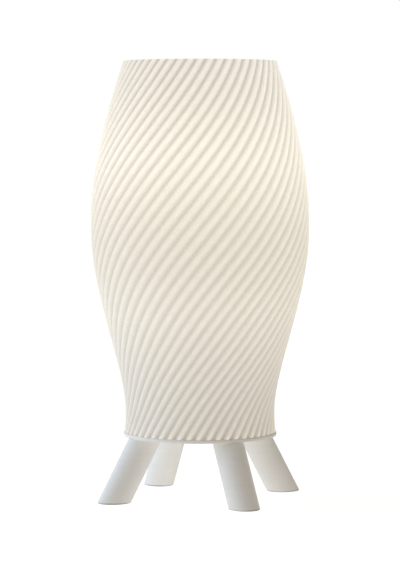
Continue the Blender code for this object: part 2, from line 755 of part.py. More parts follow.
def make_bulb_boards(parent, metal, board):
    """The light board on the housing's ledge, and the upright driver board in its throat."""
    low = LEDGE_HEIGHT + SEAT_GAP
    radius = HOUSING_RIM_RADIUS - HOUSING_WALL - SEAT_GAP
    disc = [
        (0.0, low + LED_BOARD_THICKNESS),
        (radius, low + LED_BOARD_THICKNESS),
        (radius, low),
        (0.0, low),
    ]
    mesh = mesh_from("bulb_led_board", turned(disc, SIDES_BULB), metal)
    place("bulb_led_board", mesh, parent)
    half_thick = DRIVER_THICKNESS / 2
    half_wide = sqrt((PLUG_INNER * cos(pi / SIDES_BULB) - SEAT_GAP) ** 2 - half_thick**2)
    bottom = HOUSING_BASE - HOUSING_PLUG
    rings = [
        [
            (-half_wide, -half_thick, height),
            (half_wide, -half_thick, height),
            (half_wide, half_thick, height),
            (-half_wide, half_thick, height),
        ]
        for height in (bottom, LEDGE_HEIGHT - SLIP_FIT)
    ]
    place("bulb_driver", mesh_from("bulb_driver", skinned(rings), board), parent)


def make_bulb_globe(parent, opal):
    """The opal globe: a thin round shell whose skirt stands on the housing's rim."""
    lowest = -SKIRT_DROP / GLOBE_RADIUS
    share = (GLOBE_RADIUS - GLOBE_WALL) / GLOBE_RADIUS
    rises = [1 - (1 - lowest) * (step / GLOBE_STEPS) ** 2 for step in range(GLOBE_STEPS + 1)]
    outside = [
        (GLOBE_RADIUS * sqrt(1 - rise * rise), GLOBE_CENTRE + GLOBE_RADIUS * rise)
        for rise in rises
    ]
    inside = [
        (share * radius, GLOBE_CENTRE + share * (height - GLOBE_CENTRE))
        for radius, height in outside
    ]
    outline = [
        *outside,
        (HOUSING_RIM_RADIUS, GLOBE_BASE),
        (share * HOUSING_RIM_RADIUS, GLOBE_BASE),
        *reversed(inside),
    ]
    place("bulb_globe", mesh_from("bulb_globe", turned(outline, SIDES_BULB), opal), parent)


def main():
    """Builds the lamp: base with legs and holder, lift-off shade, and turning bulb."""
    clear_scene()
    printed = finish("printed_ivory", (0.86, 0.83, 0.76), 0.55)
    printed_shade = finish("printed_shade", (0.93, 0.90, 0.83), 0.5)
    moulded = finish("moulded_white", (0.85, 0.84, 0.80), 0.35)
    opal = finish("opal_white", (0.95, 0.93, 0.88), 0.3)
    ceramic = finish("ceramic", (0.88, 0.87, 0.84), 0.45)
    black = finish("insulator_black", (0.02, 0.02, 0.022), 0.4)
    green = finish("board_green", (0.05, 0.22, 0.10), 0.5)
    steel = finish("zinc_steel", (0.62, 0.62, 0.60), 0.35, 1.0)
    brass = finish("brass", (0.78, 0.58, 0.27), 0.3, 1.0)
    nickel = finish("nickel", (0.72, 0.70, 0.66), 0.28, 1.0)
    aluminium = finish("aluminium", (0.78, 0.79, 0.80), 0.4, 1.0)

    base = empty("lamp_base")
    make_base_plate(base, printed)
    make_legs(base, printed, brass, steel)
    make_stem(base, steel, moulded)
    make_holder_cap(base, moulded)
    make_contact_block(base, ceramic, brass)
    make_screw_sleeve(base, brass)
    make_centre_contact(base, brass)
    make_holder_shell(base, moulded)

    shade_seat = empty("shade_seat", height=SHADE_BASE)
    make_shade(shade_seat, printed_shade)

    bulb_axis = empty("bulb_axis", height=BULB_BASE)
    make_bulb_cap(bulb_axis, nickel, black)
    make_bulb_housing(bulb_axis, moulded)
    make_bulb_boards(bulb_axis, aluminium, green)
    make_bulb_globe(bulb_axis, opal)


main()
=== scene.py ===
"""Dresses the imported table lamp: fluted printed shade, printed base, lamp holder and lit bulb."""

import logging
from dataclasses import dataclass
from enum import Enum
from math import cos, pi, radians, sin, sqrt, tan
from typing import Iterator, Sequence

import bmesh
import bpy
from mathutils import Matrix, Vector
from mathutils.geometry import interpolate_bezier


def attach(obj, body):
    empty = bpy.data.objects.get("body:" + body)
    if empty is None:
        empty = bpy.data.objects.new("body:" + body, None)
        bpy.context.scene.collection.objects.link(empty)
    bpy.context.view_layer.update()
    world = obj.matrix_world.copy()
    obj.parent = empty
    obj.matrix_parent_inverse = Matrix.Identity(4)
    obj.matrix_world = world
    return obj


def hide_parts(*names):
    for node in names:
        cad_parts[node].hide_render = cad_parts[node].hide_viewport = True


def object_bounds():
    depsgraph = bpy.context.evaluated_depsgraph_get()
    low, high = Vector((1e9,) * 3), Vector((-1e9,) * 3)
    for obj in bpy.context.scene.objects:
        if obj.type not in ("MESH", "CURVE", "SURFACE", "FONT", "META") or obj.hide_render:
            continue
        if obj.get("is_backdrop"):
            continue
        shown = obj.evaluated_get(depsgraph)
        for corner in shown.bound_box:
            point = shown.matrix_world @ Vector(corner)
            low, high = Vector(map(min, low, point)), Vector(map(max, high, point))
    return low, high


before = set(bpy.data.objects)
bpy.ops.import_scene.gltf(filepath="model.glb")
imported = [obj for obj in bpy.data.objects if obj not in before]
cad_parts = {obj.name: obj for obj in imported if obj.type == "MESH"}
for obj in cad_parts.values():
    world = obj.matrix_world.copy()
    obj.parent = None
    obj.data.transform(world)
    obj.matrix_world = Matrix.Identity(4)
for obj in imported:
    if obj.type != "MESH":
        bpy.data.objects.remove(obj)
CAD_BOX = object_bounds()

LOG = logging.getLogger("lamp")
SEAT_GAP = 0.0003
SHARP_ANGLE = radians(38)
MERGE = 1e-7
CORNER_SHARE = 0.45  # the most of a side that one rounded corner takes up
THREAD_LEVELS = 10  # rings in each turn of a rolled thread
THREAD_FADE = 4  # a rolled thread runs out over a turn divided by this
CUTTER_REACH = 1.0
CUTTER_SIDES = 24
NOISE_MIDDLE = 0.5

Point = tuple[float, float, float]
Colour = tuple[float, float, float]
Span = tuple[float, float]
Band = tuple[float, float, float]
Climb = tuple[float, float, float, float]
Outline = list[tuple[float, float]]
Form = bmesh.types.BMesh
Material = bpy.types.Material
Node = bpy.types.Node
Socket = bpy.types.NodeSocket
Sockets = dict[str, Socket]


class Body(Enum):
    """The CAD bodies that pieces ride on."""

    BASE = "base"
    SHADE = "shade"
    BULB = "bulb"


class Slot(Enum):
    """The record's material slots."""

    PRINTED_BASE = "printed_base"
    PRINTED_SHADE = "printed_shade"
    MOULDED = "moulded_white"
    CERAMIC = "ceramic"
    STEEL = "zinc_steel"
    BRASS = "brass"
    NICKEL = "nickel"
    BLACK = "black_insulator"
    ALUMINIUM = "aluminium"
    BOARD = "board_green"
    OPAL = "opal_globe"


class Corner(Enum):
    """The four legs, each with its bearing round the lamp in degrees."""

    FRONT_LEFT = 225
    FRONT_RIGHT = 315
    BACK_RIGHT = 45
    BACK_LEFT = 135

    @property
    def label(self) -> str:
        """The corner's name as the CAD nodes spell it."""
        return self.name.lower()


# Mesh tools


def bearing(x: float, y: float) -> float:
    """The signed angle between +X and a point."""
    return Vector((1.0, 0.0)).angle_signed(Vector((x, y)), 0.0)


def swell(turn: float) -> float:
    """A wave that goes from 0 to 1 and back in one turn."""
    return 0.5 - 0.5 * cos(turn)


def s_curve(share: float) -> float:
    """Eases a share at both of its ends."""
    return share**2 * (3 - 2 * share)


def parts(whole: float, steps: int) -> list[float]:
    """Even steps from nothing to the whole."""
    return [whole * step / steps for step in range(steps + 1)]


def arc(centre: Span, reach: Span, turns: Sequence[float]) -> Outline:
    """Points on an ellipse, at turns from its top, or from its foot if it reaches down."""
    (across, level), (wide, high) = centre, reach
    return [(across + wide * sin(turn), level + high * cos(turn)) for turn in turns]


def circle(radius: float, height: float, sides: int) -> list[Point]:
    """A ring of points about Z."""
    turns = [2 * pi * side / sides for side in range(sides)]
    return [(radius * cos(turn), radius * sin(turn), height) for turn in turns]


def hexagon(flats: float, height: float, sides: int) -> list[Point]:
    """A ring of points on a hexagon about Z.

    Args:
        flats: the width across its flats.
        height: its height on the lamp.
        sides: how many points it has, a multiple of twelve.

    Returns:
        The points.
    """
    ring: list[Point] = []
    for x, y, level in circle(1.0, height, sides):
        radius = flats / 2 / cos(bearing(x, y) % (pi / 3) - pi / 6)
        ring.append((radius * x, radius * y, level))
    return ring


def eased(outline: Outline, radius: float, steps: int = 3) -> Outline:
    """Rounds the corners of a turned outline and leaves its points on the axis.

    Args:
        outline: (radius, height) points of a closed outline, or of one that ends on the axis.
        radius: the most that is taken off each side of a corner.
        steps: how many facets each rounding has.

    Returns:
        The outline with a small curve at each corner.
    """
    points = [Vector(point) for point in outline]
    made: list[Vector] = []
    for index, corner in enumerate(points):
        if corner.x == 0.0:
            made.append(corner)
            continue
        back = points[index - 1] - corner
        ahead = points[(index + 1) % len(points)] - corner
        reach = min(radius, CORNER_SHARE * back.length, CORNER_SHARE * ahead.length)
        start, end = corner + reach * back.normalized(), corner + reach * ahead.normalized()
        for share in parts(1.0, steps):
            made.append(start.lerp(corner, share).lerp(corner.lerp(end, share), share))
    return [(point.x, point.y) for point in made]


def turned(outline: Outline, sides: int) -> Form:
    """Spins a (radius, height) outline about Z into a closed form.

    Args:
        outline: points that start and end on the axis, or a closed ring away from it.
        sides: facets round the axis.

    Returns:
        The form.
    """
    form = bmesh.new()
    points = [form.verts.new((radius, 0.0, height)) for radius, height in outline]
    pairs = list(zip(points, points[1:] + points[:1]))
    if outline[0][0] == 0.0 and outline[-1][0] == 0.0:
        pairs.pop()
    edges = [form.edges.new(pair) for pair in pairs]
    bmesh.ops.spin(
        form,
        geom=points + edges,
        cent=(0.0, 0.0, 0.0),
        axis=(0.0, 0.0, 1.0),
        angle=2 * pi,
        steps=sides,
        use_merge=True,
    )
    bmesh.ops.remove_doubles(form, verts=form.verts, dist=MERGE)
    return form


def bridge(form: Form, lower: list, upper: list) -> None:
    """Adds a band of faces between two rings of like counts."""
    for corners in zip(lower, lower[1:] + lower[:1], upper[1:] + upper[:1], upper):
        form.faces.new(corners)


def skinned(rings: Sequence[Sequence[Point]], capped: bool = True) -> Form:
    """Skins rings of like counts.

    Args:
        rings: the rings in order.
        capped: closes both ends, or else joins the last ring to the first.

    Returns:
        The form.
    """
    form = bmesh.new()
    rows = [[form.verts.new(point) for point in ring] for ring in rings]
    for lower, upper in zip(rows, rows[1:] if capped else rows[1:] + rows[:1]):
        bridge(form, lower, upper)
    if capped:
        form.faces.new(rows[0])
        form.faces.new(rows[-1])
    return form


def threaded(radii: Span, ends: Span, pitch: float, wall: float, sides: int) -> Form:
    """A thin pressed sleeve whose wall follows a rolled screw thread.

    Args:
        radii: outer-face radius in the thread's roots, and on its crests.
        ends: heights of the lower and upper end.
        pitch: rise of one turn.
        wall: thickness of the metal.
        sides: facets round the axis.

    Returns:
        The closed form.
    """
    (root, crest), (low, high) = radii, ends
    outside: list[list[Point]] = []
    inside: list[list[Point]] = []
    for rise in parts(high - low, round(THREAD_LEVELS * (high - low) / pitch)):
        height = low + rise
        fade = min(1.0, THREAD_FADE * min(height - low, high - height) / pitch)
        unit = circle(1.0, height, sides)
        waves = [swell(2 * pi * height / pitch + bearing(x, y)) for x, y, _ in unit]
        reaches = [root + (crest - root) * fade * wave for wave in waves]
        for rings, depth in ((outside, 0.0), (inside, wall)):
            ring = zip(unit, reaches)
            rings.append([((far - depth) * x, (far - depth) * y, z) for (x, y, z), far in ring])
    return skinned(outside + inside[::-1], capped=False)


def new_mesh(name: str, form: Form) -> bpy.types.Mesh:
    """Writes a form to a new mesh, with its faces turned outwards.

    Args:
        name: the mesh's name.
        form: the form, which is used up.

    Returns:
        The mesh.
    """
    bmesh.ops.recalc_face_normals(form, faces=form.faces)
    mesh = bpy.data.meshes.new(name)
    form.to_mesh(mesh)
    form.free()
    return mesh


def link_new(name: str, data: bpy.types.ID) -> bpy.types.Object:
    """Adds an object to the scene.

    Args:
        name: its name.
        data: its mesh, light or camera.

    Returns:
        The object.
    """
    obj = bpy.data.objects.new(name, data)
    bpy.context.scene.collection.objects.link(obj)
    return obj


def bored(form: Form, holes: Sequence[Span], radius: float) -> Form:
    """Cuts upright round holes through a form.

    Args:
        form: the form to cut, which is used up.
        holes: each hole's place across the lamp.
        radius: the holes' radius.

    Returns:
        The cut form.
    """
    cutters = bmesh.new()
    for x, y in holes:
        rows = []
        for level in (-CUTTER_REACH, CUTTER_REACH):
            ring = circle(radius, level, CUTTER_SIDES)
            rows.append([cutters.verts.new((x + px, y + py, z)) for px, py, z in ring])
            cutters.faces.new(rows[-1])
        bridge(cutters, *rows)
    shapes = {"uncut": form, "cutters": cutters}
    uncut, cutter = [link_new(name, new_mesh(name, shape)) for name, shape in shapes.items()]
    modifier = uncut.modifiers.new("holes", "BOOLEAN")
    modifier.operation, modifier.solver, modifier.object = "DIFFERENCE", "EXACT", cutter
    made = bmesh.new()
    made.from_mesh(uncut.evaluated_get(bpy.context.evaluated_depsgraph_get()).to_mesh())
    for obj in (uncut, cutter):
        mesh = obj.data
        bpy.data.objects.remove(obj)
        bpy.data.meshes.remove(mesh)
    return made


def add_piece(node: str, form: Form, material: Material, body: Body, slot: Slot) -> None:
    """Puts a fine piece in place of a CAD node.

    Args:
        node: the CAD node that it stands for.
        form: its form, in the CAD frame, which is used up.
        material: its finish.
        body: the body that it rides on.
        slot: not used.
    """
    mesh = new_mesh(f"{node}_fine", form)
    mesh.materials.append(material)
    mesh.shade_smooth()
    mesh.set_sharp_from_angle(angle=SHARP_ANGLE)
    obj = link_new(f"{node}_fine", mesh)
    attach(obj, body.value)
    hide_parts(node)
    LOG.info("%s: %d faces, rides on %s", obj.name, len(mesh.polygons), body.value)


def dress_node(node: str, material: Material, slot: Slot) -> None:
    """Gives a CAD node that stays in view its finish.

    Args:
        node: the CAD node.
        material: its finish.
        slot: not used.
    """
    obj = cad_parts[node]
    if not obj.material_slots:
        obj.data.materials.append(material)
    for place in obj.material_slots:
        place.material = material
    LOG.info("%s: CAD node, %s", node, material.name)


# Finishes


class Graph:
    """Adds and links nodes in one node tree."""

    def __init__(self, tree: bpy.types.NodeTree) -> None:
        """Starts from an empty tree."""
        self.tree = tree
        tree.nodes.clear()

    def add(self, kind: str, **values: object) -> Node:
        """Adds a node and sets its properties.

        Args:
            kind: the node's type name without its ShaderNode prefix.
            values: properties of the node by name.

        Returns:
            The new node.
        """
        prefix = "" if kind.startswith("NodeGroup") else "ShaderNode"
        node = self.tree.nodes.new(prefix + kind)
        for name, value in values.items():
            setattr(node, name, value)
        return node

    def join(self, source: Socket, target: Socket) -> None:
        """Links an output to an input."""
        self.tree.links.new(source, target)

    def feed(self, value: object, target: Socket) -> None:
        """Gives an input its value.

        Args:
            value: an output to link, a colour or a number to set, or nothing.
            target: the input.
        """
        if isinstance(value, bpy.types.NodeSocket):
            self.join(value, target)
        elif isinstance(value, tuple):
            target.default_value = (*value, 1.0)
        elif value is not None:
            target.default_value = value

    def math(self, operation: str, first: object, second: object = None) -> Socket:
        """Adds a Math node.

        Args:
            operation: Blender's name for what it does.
            first: a socket or a number.
            second: a socket, a number or nothing.

        Returns:
            The node's output.
        """
        node = self.add("Math", operation=operation)
        for value, place in zip((first, second), node.inputs):
            self.feed(value, place)
        return node.outputs[0]

    def between(self, low: Socket, high: Socket, share: Socket) -> Socket:
        """The value that lies a share of the way from the low to the high one."""
        reach = self.math("MULTIPLY", self.math("SUBTRACT", high, low), share)
        return self.math("ADD", low, reach)

    def ramp(self, value: Socket, *span: float, smooth: bool = False) -> Socket:
        """Adds a Map Range node.

        Args:
            value: what is mapped.
            span: lowest and highest value in, then lowest and highest out.
            smooth: eases both ends.

        Returns:
            The mapped value.
        """
        node = self.add("MapRange", interpolation_type="SMOOTHSTEP" if smooth else "LINEAR")
        self.join(value, node.inputs["Value"])
        for name, bound in zip(("From Min", "From Max", "To Min", "To Max"), span):
            node.inputs[name].default_value = bound
        return node.outputs["Result"]

    def blend(self, share: Socket, first: object, second: object) -> Socket:
        """Adds a colour mix.

        Args:
            share: how much of the second colour shows.
            first: a colour or a socket that gives one.
            second: a colour or a socket that gives one.

        Returns:
            The mixed colour.
        """
        node = self.add("Mix", data_type="RGBA")
        self.join(share, node.inputs["Factor"])
        ends = [end for end in node.inputs if end.type == "RGBA"]
        for value, place in zip((first, second), ends):
            self.feed(value, place)
        return next(end for end in node.outputs if end.type == "RGBA")

    def mix(self, share: Socket, first: Node, second: Node, output: Node) -> None:
        """Sends a mix of two shaders to the output.

        Args:
            share: how much of the second shader shows.
            first: one shader.
            second: the other one.
            output: the output node.
        """
        node = self.add("MixShader")
        self.join(share, node.inputs["Fac"])
        for place, shader in zip(node.inputs[1:], (first, second)):
            self.join(shader.outputs[0], place)
        self.join(node.outputs[0], output.inputs["Surface"])

    def place(self) -> Socket:
        """The place on the object."""
        return self.add("TexCoord").outputs["Object"]

    def axes(self) -> Sockets:
        """The place on the object, axis by axis.

        Returns:
            The outputs X, Y and Z.
        """
        split = self.add("SeparateXYZ")
        self.join(self.place(), split.inputs[0])
        return dict(split.outputs.items())

    def noise(self, where: Socket, scale: object, detail: float) -> Socket:
        """Adds a noise texture.

        Args:
            where: the place, or one value that it runs along.
            scale: how fine it is, as a socket or a number.
            detail: how many finer layers it has.

        Returns:
            The noise, from 0 to 1.
        """
        along = where.type == "VALUE"
        node = self.add("TexNoise", noise_dimensions="1D" if along else "3D")
        self.join(where, node.inputs["W" if along else "Vector"])
        self.feed(scale, node.inputs["Scale"])
        node.inputs["Detail"].default_value = detail
        return node.outputs["Fac"]


class Effect(Enum):
    """Shader node groups that several finishes share."""

    LAYERS = "printed_layers"
    GRAIN = "fine_grain"
    BRUSHED = "turning_marks"

    @property
    def tree(self) -> bpy.types.NodeTree:
        """The effect's node group, built once."""
        return bpy.data.node_groups.get(self.value) or EFFECT_MAKERS[self]()


def new_group(
    effect: Effect, numbers: dict[str, float], outputs: Sequence[str]
) -> tuple[Graph, Sockets, Sockets]:
    """Starts a node group.

    Args:
        effect: which effect it is.
        numbers: its inputs with their default values.
        outputs: the names of its outputs.

    Returns:
        The graph, its input sockets by name, and its output sockets by name.
    """
    tree = bpy.data.node_groups.new(effect.value, "ShaderNodeTree")
    graph = Graph(tree)
    for name, value in numbers.items():
        made = tree.interface.new_socket(name, in_out="INPUT", socket_type="NodeSocketFloat")
        made.default_value = value
    for name in outputs:
        tree.interface.new_socket(name, in_out="OUTPUT", socket_type="NodeSocketFloat")
    entry, leave = graph.add("NodeGroupInput"), graph.add("NodeGroupOutput")
    return graph, dict(entry.outputs.items()), dict(leave.inputs.items())


def layers_group() -> bpy.types.NodeTree:
    """Printed layers: a rounded ridge for each layer, with a slow wander and uneven bands.

    Returns:
        The node group.
    """
    drift_scale, band_scale, band_edges = 45.0, 0.35, (0.3, 0.7)
    inputs = {"Layer": 0.0008, "Wander": 0.0002}
    graph, given, made = new_group(Effect.LAYERS, inputs, ("Height", "Bands"))
    wander = graph.noise(graph.place(), drift_scale, detail=2.0)
    drift = graph.math("SUBTRACT", wander, NOISE_MIDDLE)
    shift = graph.math("MULTIPLY", drift, given["Wander"])
    level = graph.math("DIVIDE", graph.math("ADD", graph.axes()["Z"], shift), given["Layer"])
    ridge = graph.math("ABSOLUTE", graph.math("SINE", graph.math("MULTIPLY", level, pi)))
    graph.join(ridge, made["Height"])
    bands = graph.noise(graph.math("MULTIPLY", level, band_scale), 1.0, detail=3.0)
    graph.join(graph.ramp(bands, *band_edges, 0.0, 1.0), made["Bands"])
    return graph.tree


def grain_group() -> bpy.types.NodeTree:
    """Fine grain: a small-scale value for roughness and a broader mask for colour.

    Returns:
        The node group.
    """
    broad_scale, broad_edges = 0.06, (0.35, 0.65)
    inputs = {"Scale": 900.0, "Low": 0.4, "High": 0.6}
    graph, given, made = new_group(Effect.GRAIN, inputs, ("Value", "Mask", "Height"))
    fine = graph.noise(graph.place(), given["Scale"], detail=4.0)
    coarse = graph.math("MULTIPLY", given["Scale"], broad_scale)
    broad = graph.noise(graph.place(), coarse, detail=3.0)
    mask = graph.ramp(broad, *broad_edges, 0.0, 1.0, smooth=True)
    both = graph.math("MULTIPLY", graph.math("ADD", fine, mask), 0.5)
    graph.join(graph.between(given["Low"], given["High"], both), made["Value"])
    graph.join(mask, made["Mask"])
    graph.join(fine, made["Height"])
    return graph.tree


def brushed_group() -> bpy.types.NodeTree:
    """Turning marks: fine rings round the lamp's axis, as a lathe leaves them.

    Returns:
        The node group.
    """
    inputs = {"Pitch": 0.0003, "Low": 0.25, "High": 0.4}
    graph, given, made = new_group(Effect.BRUSHED, inputs, ("Value", "Height"))
    place = graph.axes()
    squared = [graph.math("POWER", place[axis], 2.0) for axis in ("X", "Y")]
    out = graph.math("SQRT", graph.math("ADD", *squared))
    along = graph.math("DIVIDE", graph.math("ADD", place["Z"], out), given["Pitch"])
    marks = graph.noise(along, 1.0, detail=4.0)
    graph.join(graph.between(given["Low"], given["High"], marks), made["Value"])
    graph.join(marks, made["Height"])
    return graph.tree


EFFECT_MAKERS = {
    Effect.LAYERS: layers_group,
    Effect.GRAIN: grain_group,
    Effect.BRUSHED: brushed_group,
}


class Surface(Graph):
    """A new material's graph, with a Principled shader joined to its output."""

    def __init__(self, name: str) -> None:
        """Starts the material.

        Args:
            name: the finish's name.
        """
        self.material = bpy.data.materials.new(name)
        self.material.use_nodes = True
        super().__init__(self.material.node_tree)
        self.shader, self.output = self.add("BsdfPrincipled"), self.add("OutputMaterial")
        self.join(self.shader.outputs[0], self.output.inputs["Surface"])

    def set(self, name: str, value: object) -> None:
        """Gives the shader's input of that name a socket, a colour or a number."""
        self.feed(value, self.shader.inputs[name])

    def effect(self, effect: Effect, **numbers: float) -> Sockets:
        """Places a shared effect.

        Args:
            effect: which effect.
            numbers: its inputs by name.

        Returns:
            The effect's outputs by name.
        """
        node = self.add("Group", node_tree=effect.tree)
        for name, value in numbers.items():
            node.inputs[name].default_value = value
        return dict(node.outputs.items())

    def sheen(self, effect: Effect, roughness: Span, **numbers: float) -> Sockets:
        """Places a shared effect that varies the roughness.

        Args:
            effect: which effect.
            roughness: the lowest and highest roughness.
            numbers: the effect's other inputs by name.

        Returns:
            The effect's outputs by name.
        """
        made = self.effect(effect, Low=roughness[0], High=roughness[1], **numbers)
        self.set("Roughness", made["Value"])
        return made

    def bump(self, height: Socket, relief: Span) -> None:
        """Feeds a height into the shader's normal.

        Args:
            height: the height, from 0 to 1.
            relief: how deep it is in metres, and how much of it shows.
        """
        node = self.add("Bump")
        node.inputs["Distance"].default_value, node.inputs["Strength"].default_value = relief
        self.join(height, node.inputs["Height"])
        self.set("Normal", node.outputs["Normal"])


@dataclass(frozen=True)
class PrintedFinish:
    """Printed plastic: visible layers, a soft sheen, faint uneven bands and a painted contact
    shadow at the soles.
    """

    name: str
    colour: Colour
    worn_colour: Colour
    roughness: Span = (0.48, 0.62)
    gloss: float = 0.06
    layer: float = 0.0008
    relief: Span = (0.00006, 0.5)
    # painted shadow: a dark line at the soles where each leg stands on the floor
    sole_shadow_colour: Colour = (0.30, 0.285, 0.265)
    sole_shadow_height: float = 0.0016

    def material(self) -> Material:
        """Builds the material.

        Returns:
            The material.
        """
        paint = Surface(self.name)
        layers = paint.effect(Effect.LAYERS, Layer=self.layer)
        mask = paint.sheen(Effect.GRAIN, self.roughness)["Mask"]
        worn = paint.math("MULTIPLY", paint.math("ADD", layers["Bands"], mask), 0.5)
        unshadowed = paint.blend(worn, self.colour, self.worn_colour)
        # painted contact shadow: the colour darkens within a ragged height above the floor
        ragged = paint.math("MULTIPLY", paint.math("ADD", mask, 1.0), self.sole_shadow_height / 2)
        above = paint.math("DIVIDE", paint.axes()["Z"], ragged)
        sole_shadow = paint.ramp(above, 0.0, 1.0, 1.0, 0.0, smooth=True)
        paint.set("Base Color", paint.blend(sole_shadow, unshadowed, self.sole_shadow_colour))
        paint.set("Specular IOR Level", self.gloss)
        paint.bump(layers["Height"], self.relief)
        return paint.material


@dataclass(frozen=True)
class GlowingShadeFinish:
    """The shade's thin printed wall, which scatters the bulb's warm light through it.

    Heights are on the lamp. Its glow is painted light, an emission that stands in for the bulb's
    light through the wall: it climbs from the foot to the wall, with soft bands on top and a
    painted band of light on the rib ends at the foot, dims in the grooves as painted shade and is
    finely mottled. The grooves' colours are darker as painted shade too. Towards the rim more light
    goes through.
    """

    name: str
    colour: Colour
    # painted shade: the wall's colour in the grooves, darker than on the crests
    groove_shade_colour: Colour
    through_colour: Colour
    # painted shade: the light through the wall is darker in the grooves
    groove_shade_through: Colour
    # painted light: colours of the wall's emission, which stands in for the bulb's light through it
    glow_colour: Colour
    glow_edge_colour: Colour
    # painted light: how the painted glow rises with height, and bands of brighter painted glow
    glow_climb: Climb
    glow_bands: tuple[Band, ...]
    # painted light: a band of brighter glow on the rib crests at the shade's foot
    foot_light_band: Band
    # painted shade: how much the painted glow dims in the grooves and brightens on the crests
    groove_shade_swing: Span
    swing_middle: float
    swing_reach: float
    through_share: Climb
    mottle: float = 0.9
    swing_balance: float = 0.55
    # painted light: how sharply the foot's painted glow keeps to the crests
    foot_light_power: float = 3.0
    band_share: float = 0.12
    # the rise at which the crest colour is full; below it the painted groove shade shows
    full_crest_light: float = 1.1
    roughness: Span = (0.45, 0.6)
    gloss: float = 0.05
    layer: float = 0.0006
    relief: Span = (0.00004, 0.4)

    def material(self) -> Material:
        """Builds the material.

        Returns:
            The material.
        """
        paint = Surface(self.name)
        layers = paint.effect(Effect.LAYERS, Layer=self.layer)
        grain = paint.sheen(Effect.GRAIN, self.roughness)["Height"]
        paint.set("Specular IOR Level", self.gloss)
        paint.bump(layers["Height"], self.relief)
        rise = paint.add("Attribute", attribute_name=FlutedShade.RISE).outputs["Fac"]
        # painted shade: the colour darkens towards the grooves, mixed with the random layer bands
        banded = paint.math("ADD", paint.math("MULTIPLY", layers["Bands"], self.band_share), rise)
        crest_light_and_bands = paint.ramp(banded, 0.0, self.full_crest_light, 0.0, 1.0)
        paint.set("Base Color", paint.blend(crest_light_and_bands, self.groove_shade_colour, self.colour))
        height = paint.axes()["Z"]
        thin = paint.ramp(height, *self.through_share, smooth=True)
        self.light(paint, height, rise, grain, thin)
        through = paint.add("BsdfTranslucent")
        # painted shade: the colour of the light through the wall darkens towards the grooves too
        tint = paint.blend(crest_light_and_bands, self.groove_shade_through, self.through_colour)
        paint.join(tint, through.inputs["Color"])
        paint.mix(thin, paint.shader, through, paint.output)
        return paint.material

    def light(
        self, paint: Surface, height: Socket, rise: Socket, grain: Socket, thin: Socket
    ) -> None:
        """Makes the wall glow with painted light, an emission that stands in for the bulb's light
        through it.

        Args:
            paint: the wall's surface.
            height: the height on the lamp.
            rise: the rise from groove to crest.
            grain: the fine grain that mottles the glow.
            thin: the share of the wall that lets light through, which the glow makes up for.
        """
        level = paint.ramp(height, *self.glow_climb, smooth=True)
        for band in self.glow_bands:
            level = paint.math("ADD", level, self.band(paint, height, *band))
        foot, full = self.glow_climb[2:]
        near = paint.ramp(level, foot, full + self.glow_bands[-1][2], 0.0, 1.0)
        # painted light: brighter glow on the rib crests just above the foot
        crests = paint.math("POWER", rise, self.foot_light_power)
        foot_light = paint.math("MULTIPLY", self.band(paint, height, *self.foot_light_band), crests)
        off = paint.math("SUBTRACT", grain, NOISE_MIDDLE)
        mottled = paint.math("ADD", paint.math("MULTIPLY", off, self.mottle), 1.0)
        least = 1 - self.through_share[3]
        lit = paint.math("ADD", level, foot_light)
        for share in (self.groove_shade_share(paint, height, rise), mottled, least):
            lit = paint.math("MULTIPLY", lit, share)
        lit = paint.math("DIVIDE", lit, paint.math("SUBTRACT", 1.0, thin))
        glow = paint.add("VectorMath", operation="SCALE")
        tint = paint.blend(near, self.glow_edge_colour, self.glow_colour)
        paint.join(tint, glow.inputs["Vector"])
        paint.join(lit, glow.inputs["Scale"])
        paint.set("Emission Color", glow.outputs["Vector"])
        paint.set("Emission Strength", 1 / least)

    @staticmethod
    def band(paint: Surface, height: Socket, middle: float, reach: float, gain: float) -> Socket:
        """A level band of glow: its gain at the middle, half of that a reach above and below."""
        off = paint.math("DIVIDE", paint.math("SUBTRACT", height, middle), reach)
        return paint.math("DIVIDE", gain, paint.math("ADD", paint.math("POWER", off, 2.0), 1.0))

    def groove_shade_share(self, paint: Surface, height: Socket, rise: Socket) -> Socket:
        """How the painted glow swings from groove to crest: dimmer in the grooves as painted shade,
        most of all near the foot and the rim.

        Args:
            paint: the wall's surface.
            height: the height on the lamp.
            rise: the rise from groove to crest.

        Returns:
            The share of the glow that shows, about one.
        """
        middle, ends = self.groove_shade_swing
        off = paint.math("SUBTRACT", height, self.swing_middle)
        away = paint.math("POWER", paint.math("DIVIDE", off, self.swing_reach), 2.0)
        swing = paint.math("ADD", paint.math("MULTIPLY", away, ends), middle)
        above = paint.math("SUBTRACT", rise, self.swing_balance)
        return paint.math("ADD", paint.math("MULTIPLY", swing, above), 1.0)


@dataclass(frozen=True)
class MouldedFinish:
    """Moulded or fired material: an even colour with a fine grain in its sheen."""

    name: str
    colour: Colour
    shaded_colour: Colour
    roughness: Span
    coat: float = 0.0
    grain: float = 900.0
    relief: Span = (0.00003, 0.3)

    def material(self) -> Material:
        """Builds the material.

        Returns:
            The material.
        """
        paint = Surface(self.name)
        grain = paint.sheen(Effect.GRAIN, self.roughness, Scale=self.grain)
        paint.set("Base Color", paint.blend(grain["Mask"], self.colour, self.shaded_colour))
        paint.set("Coat Weight", self.coat)
        paint.bump(grain["Height"], self.relief)
        return paint.material


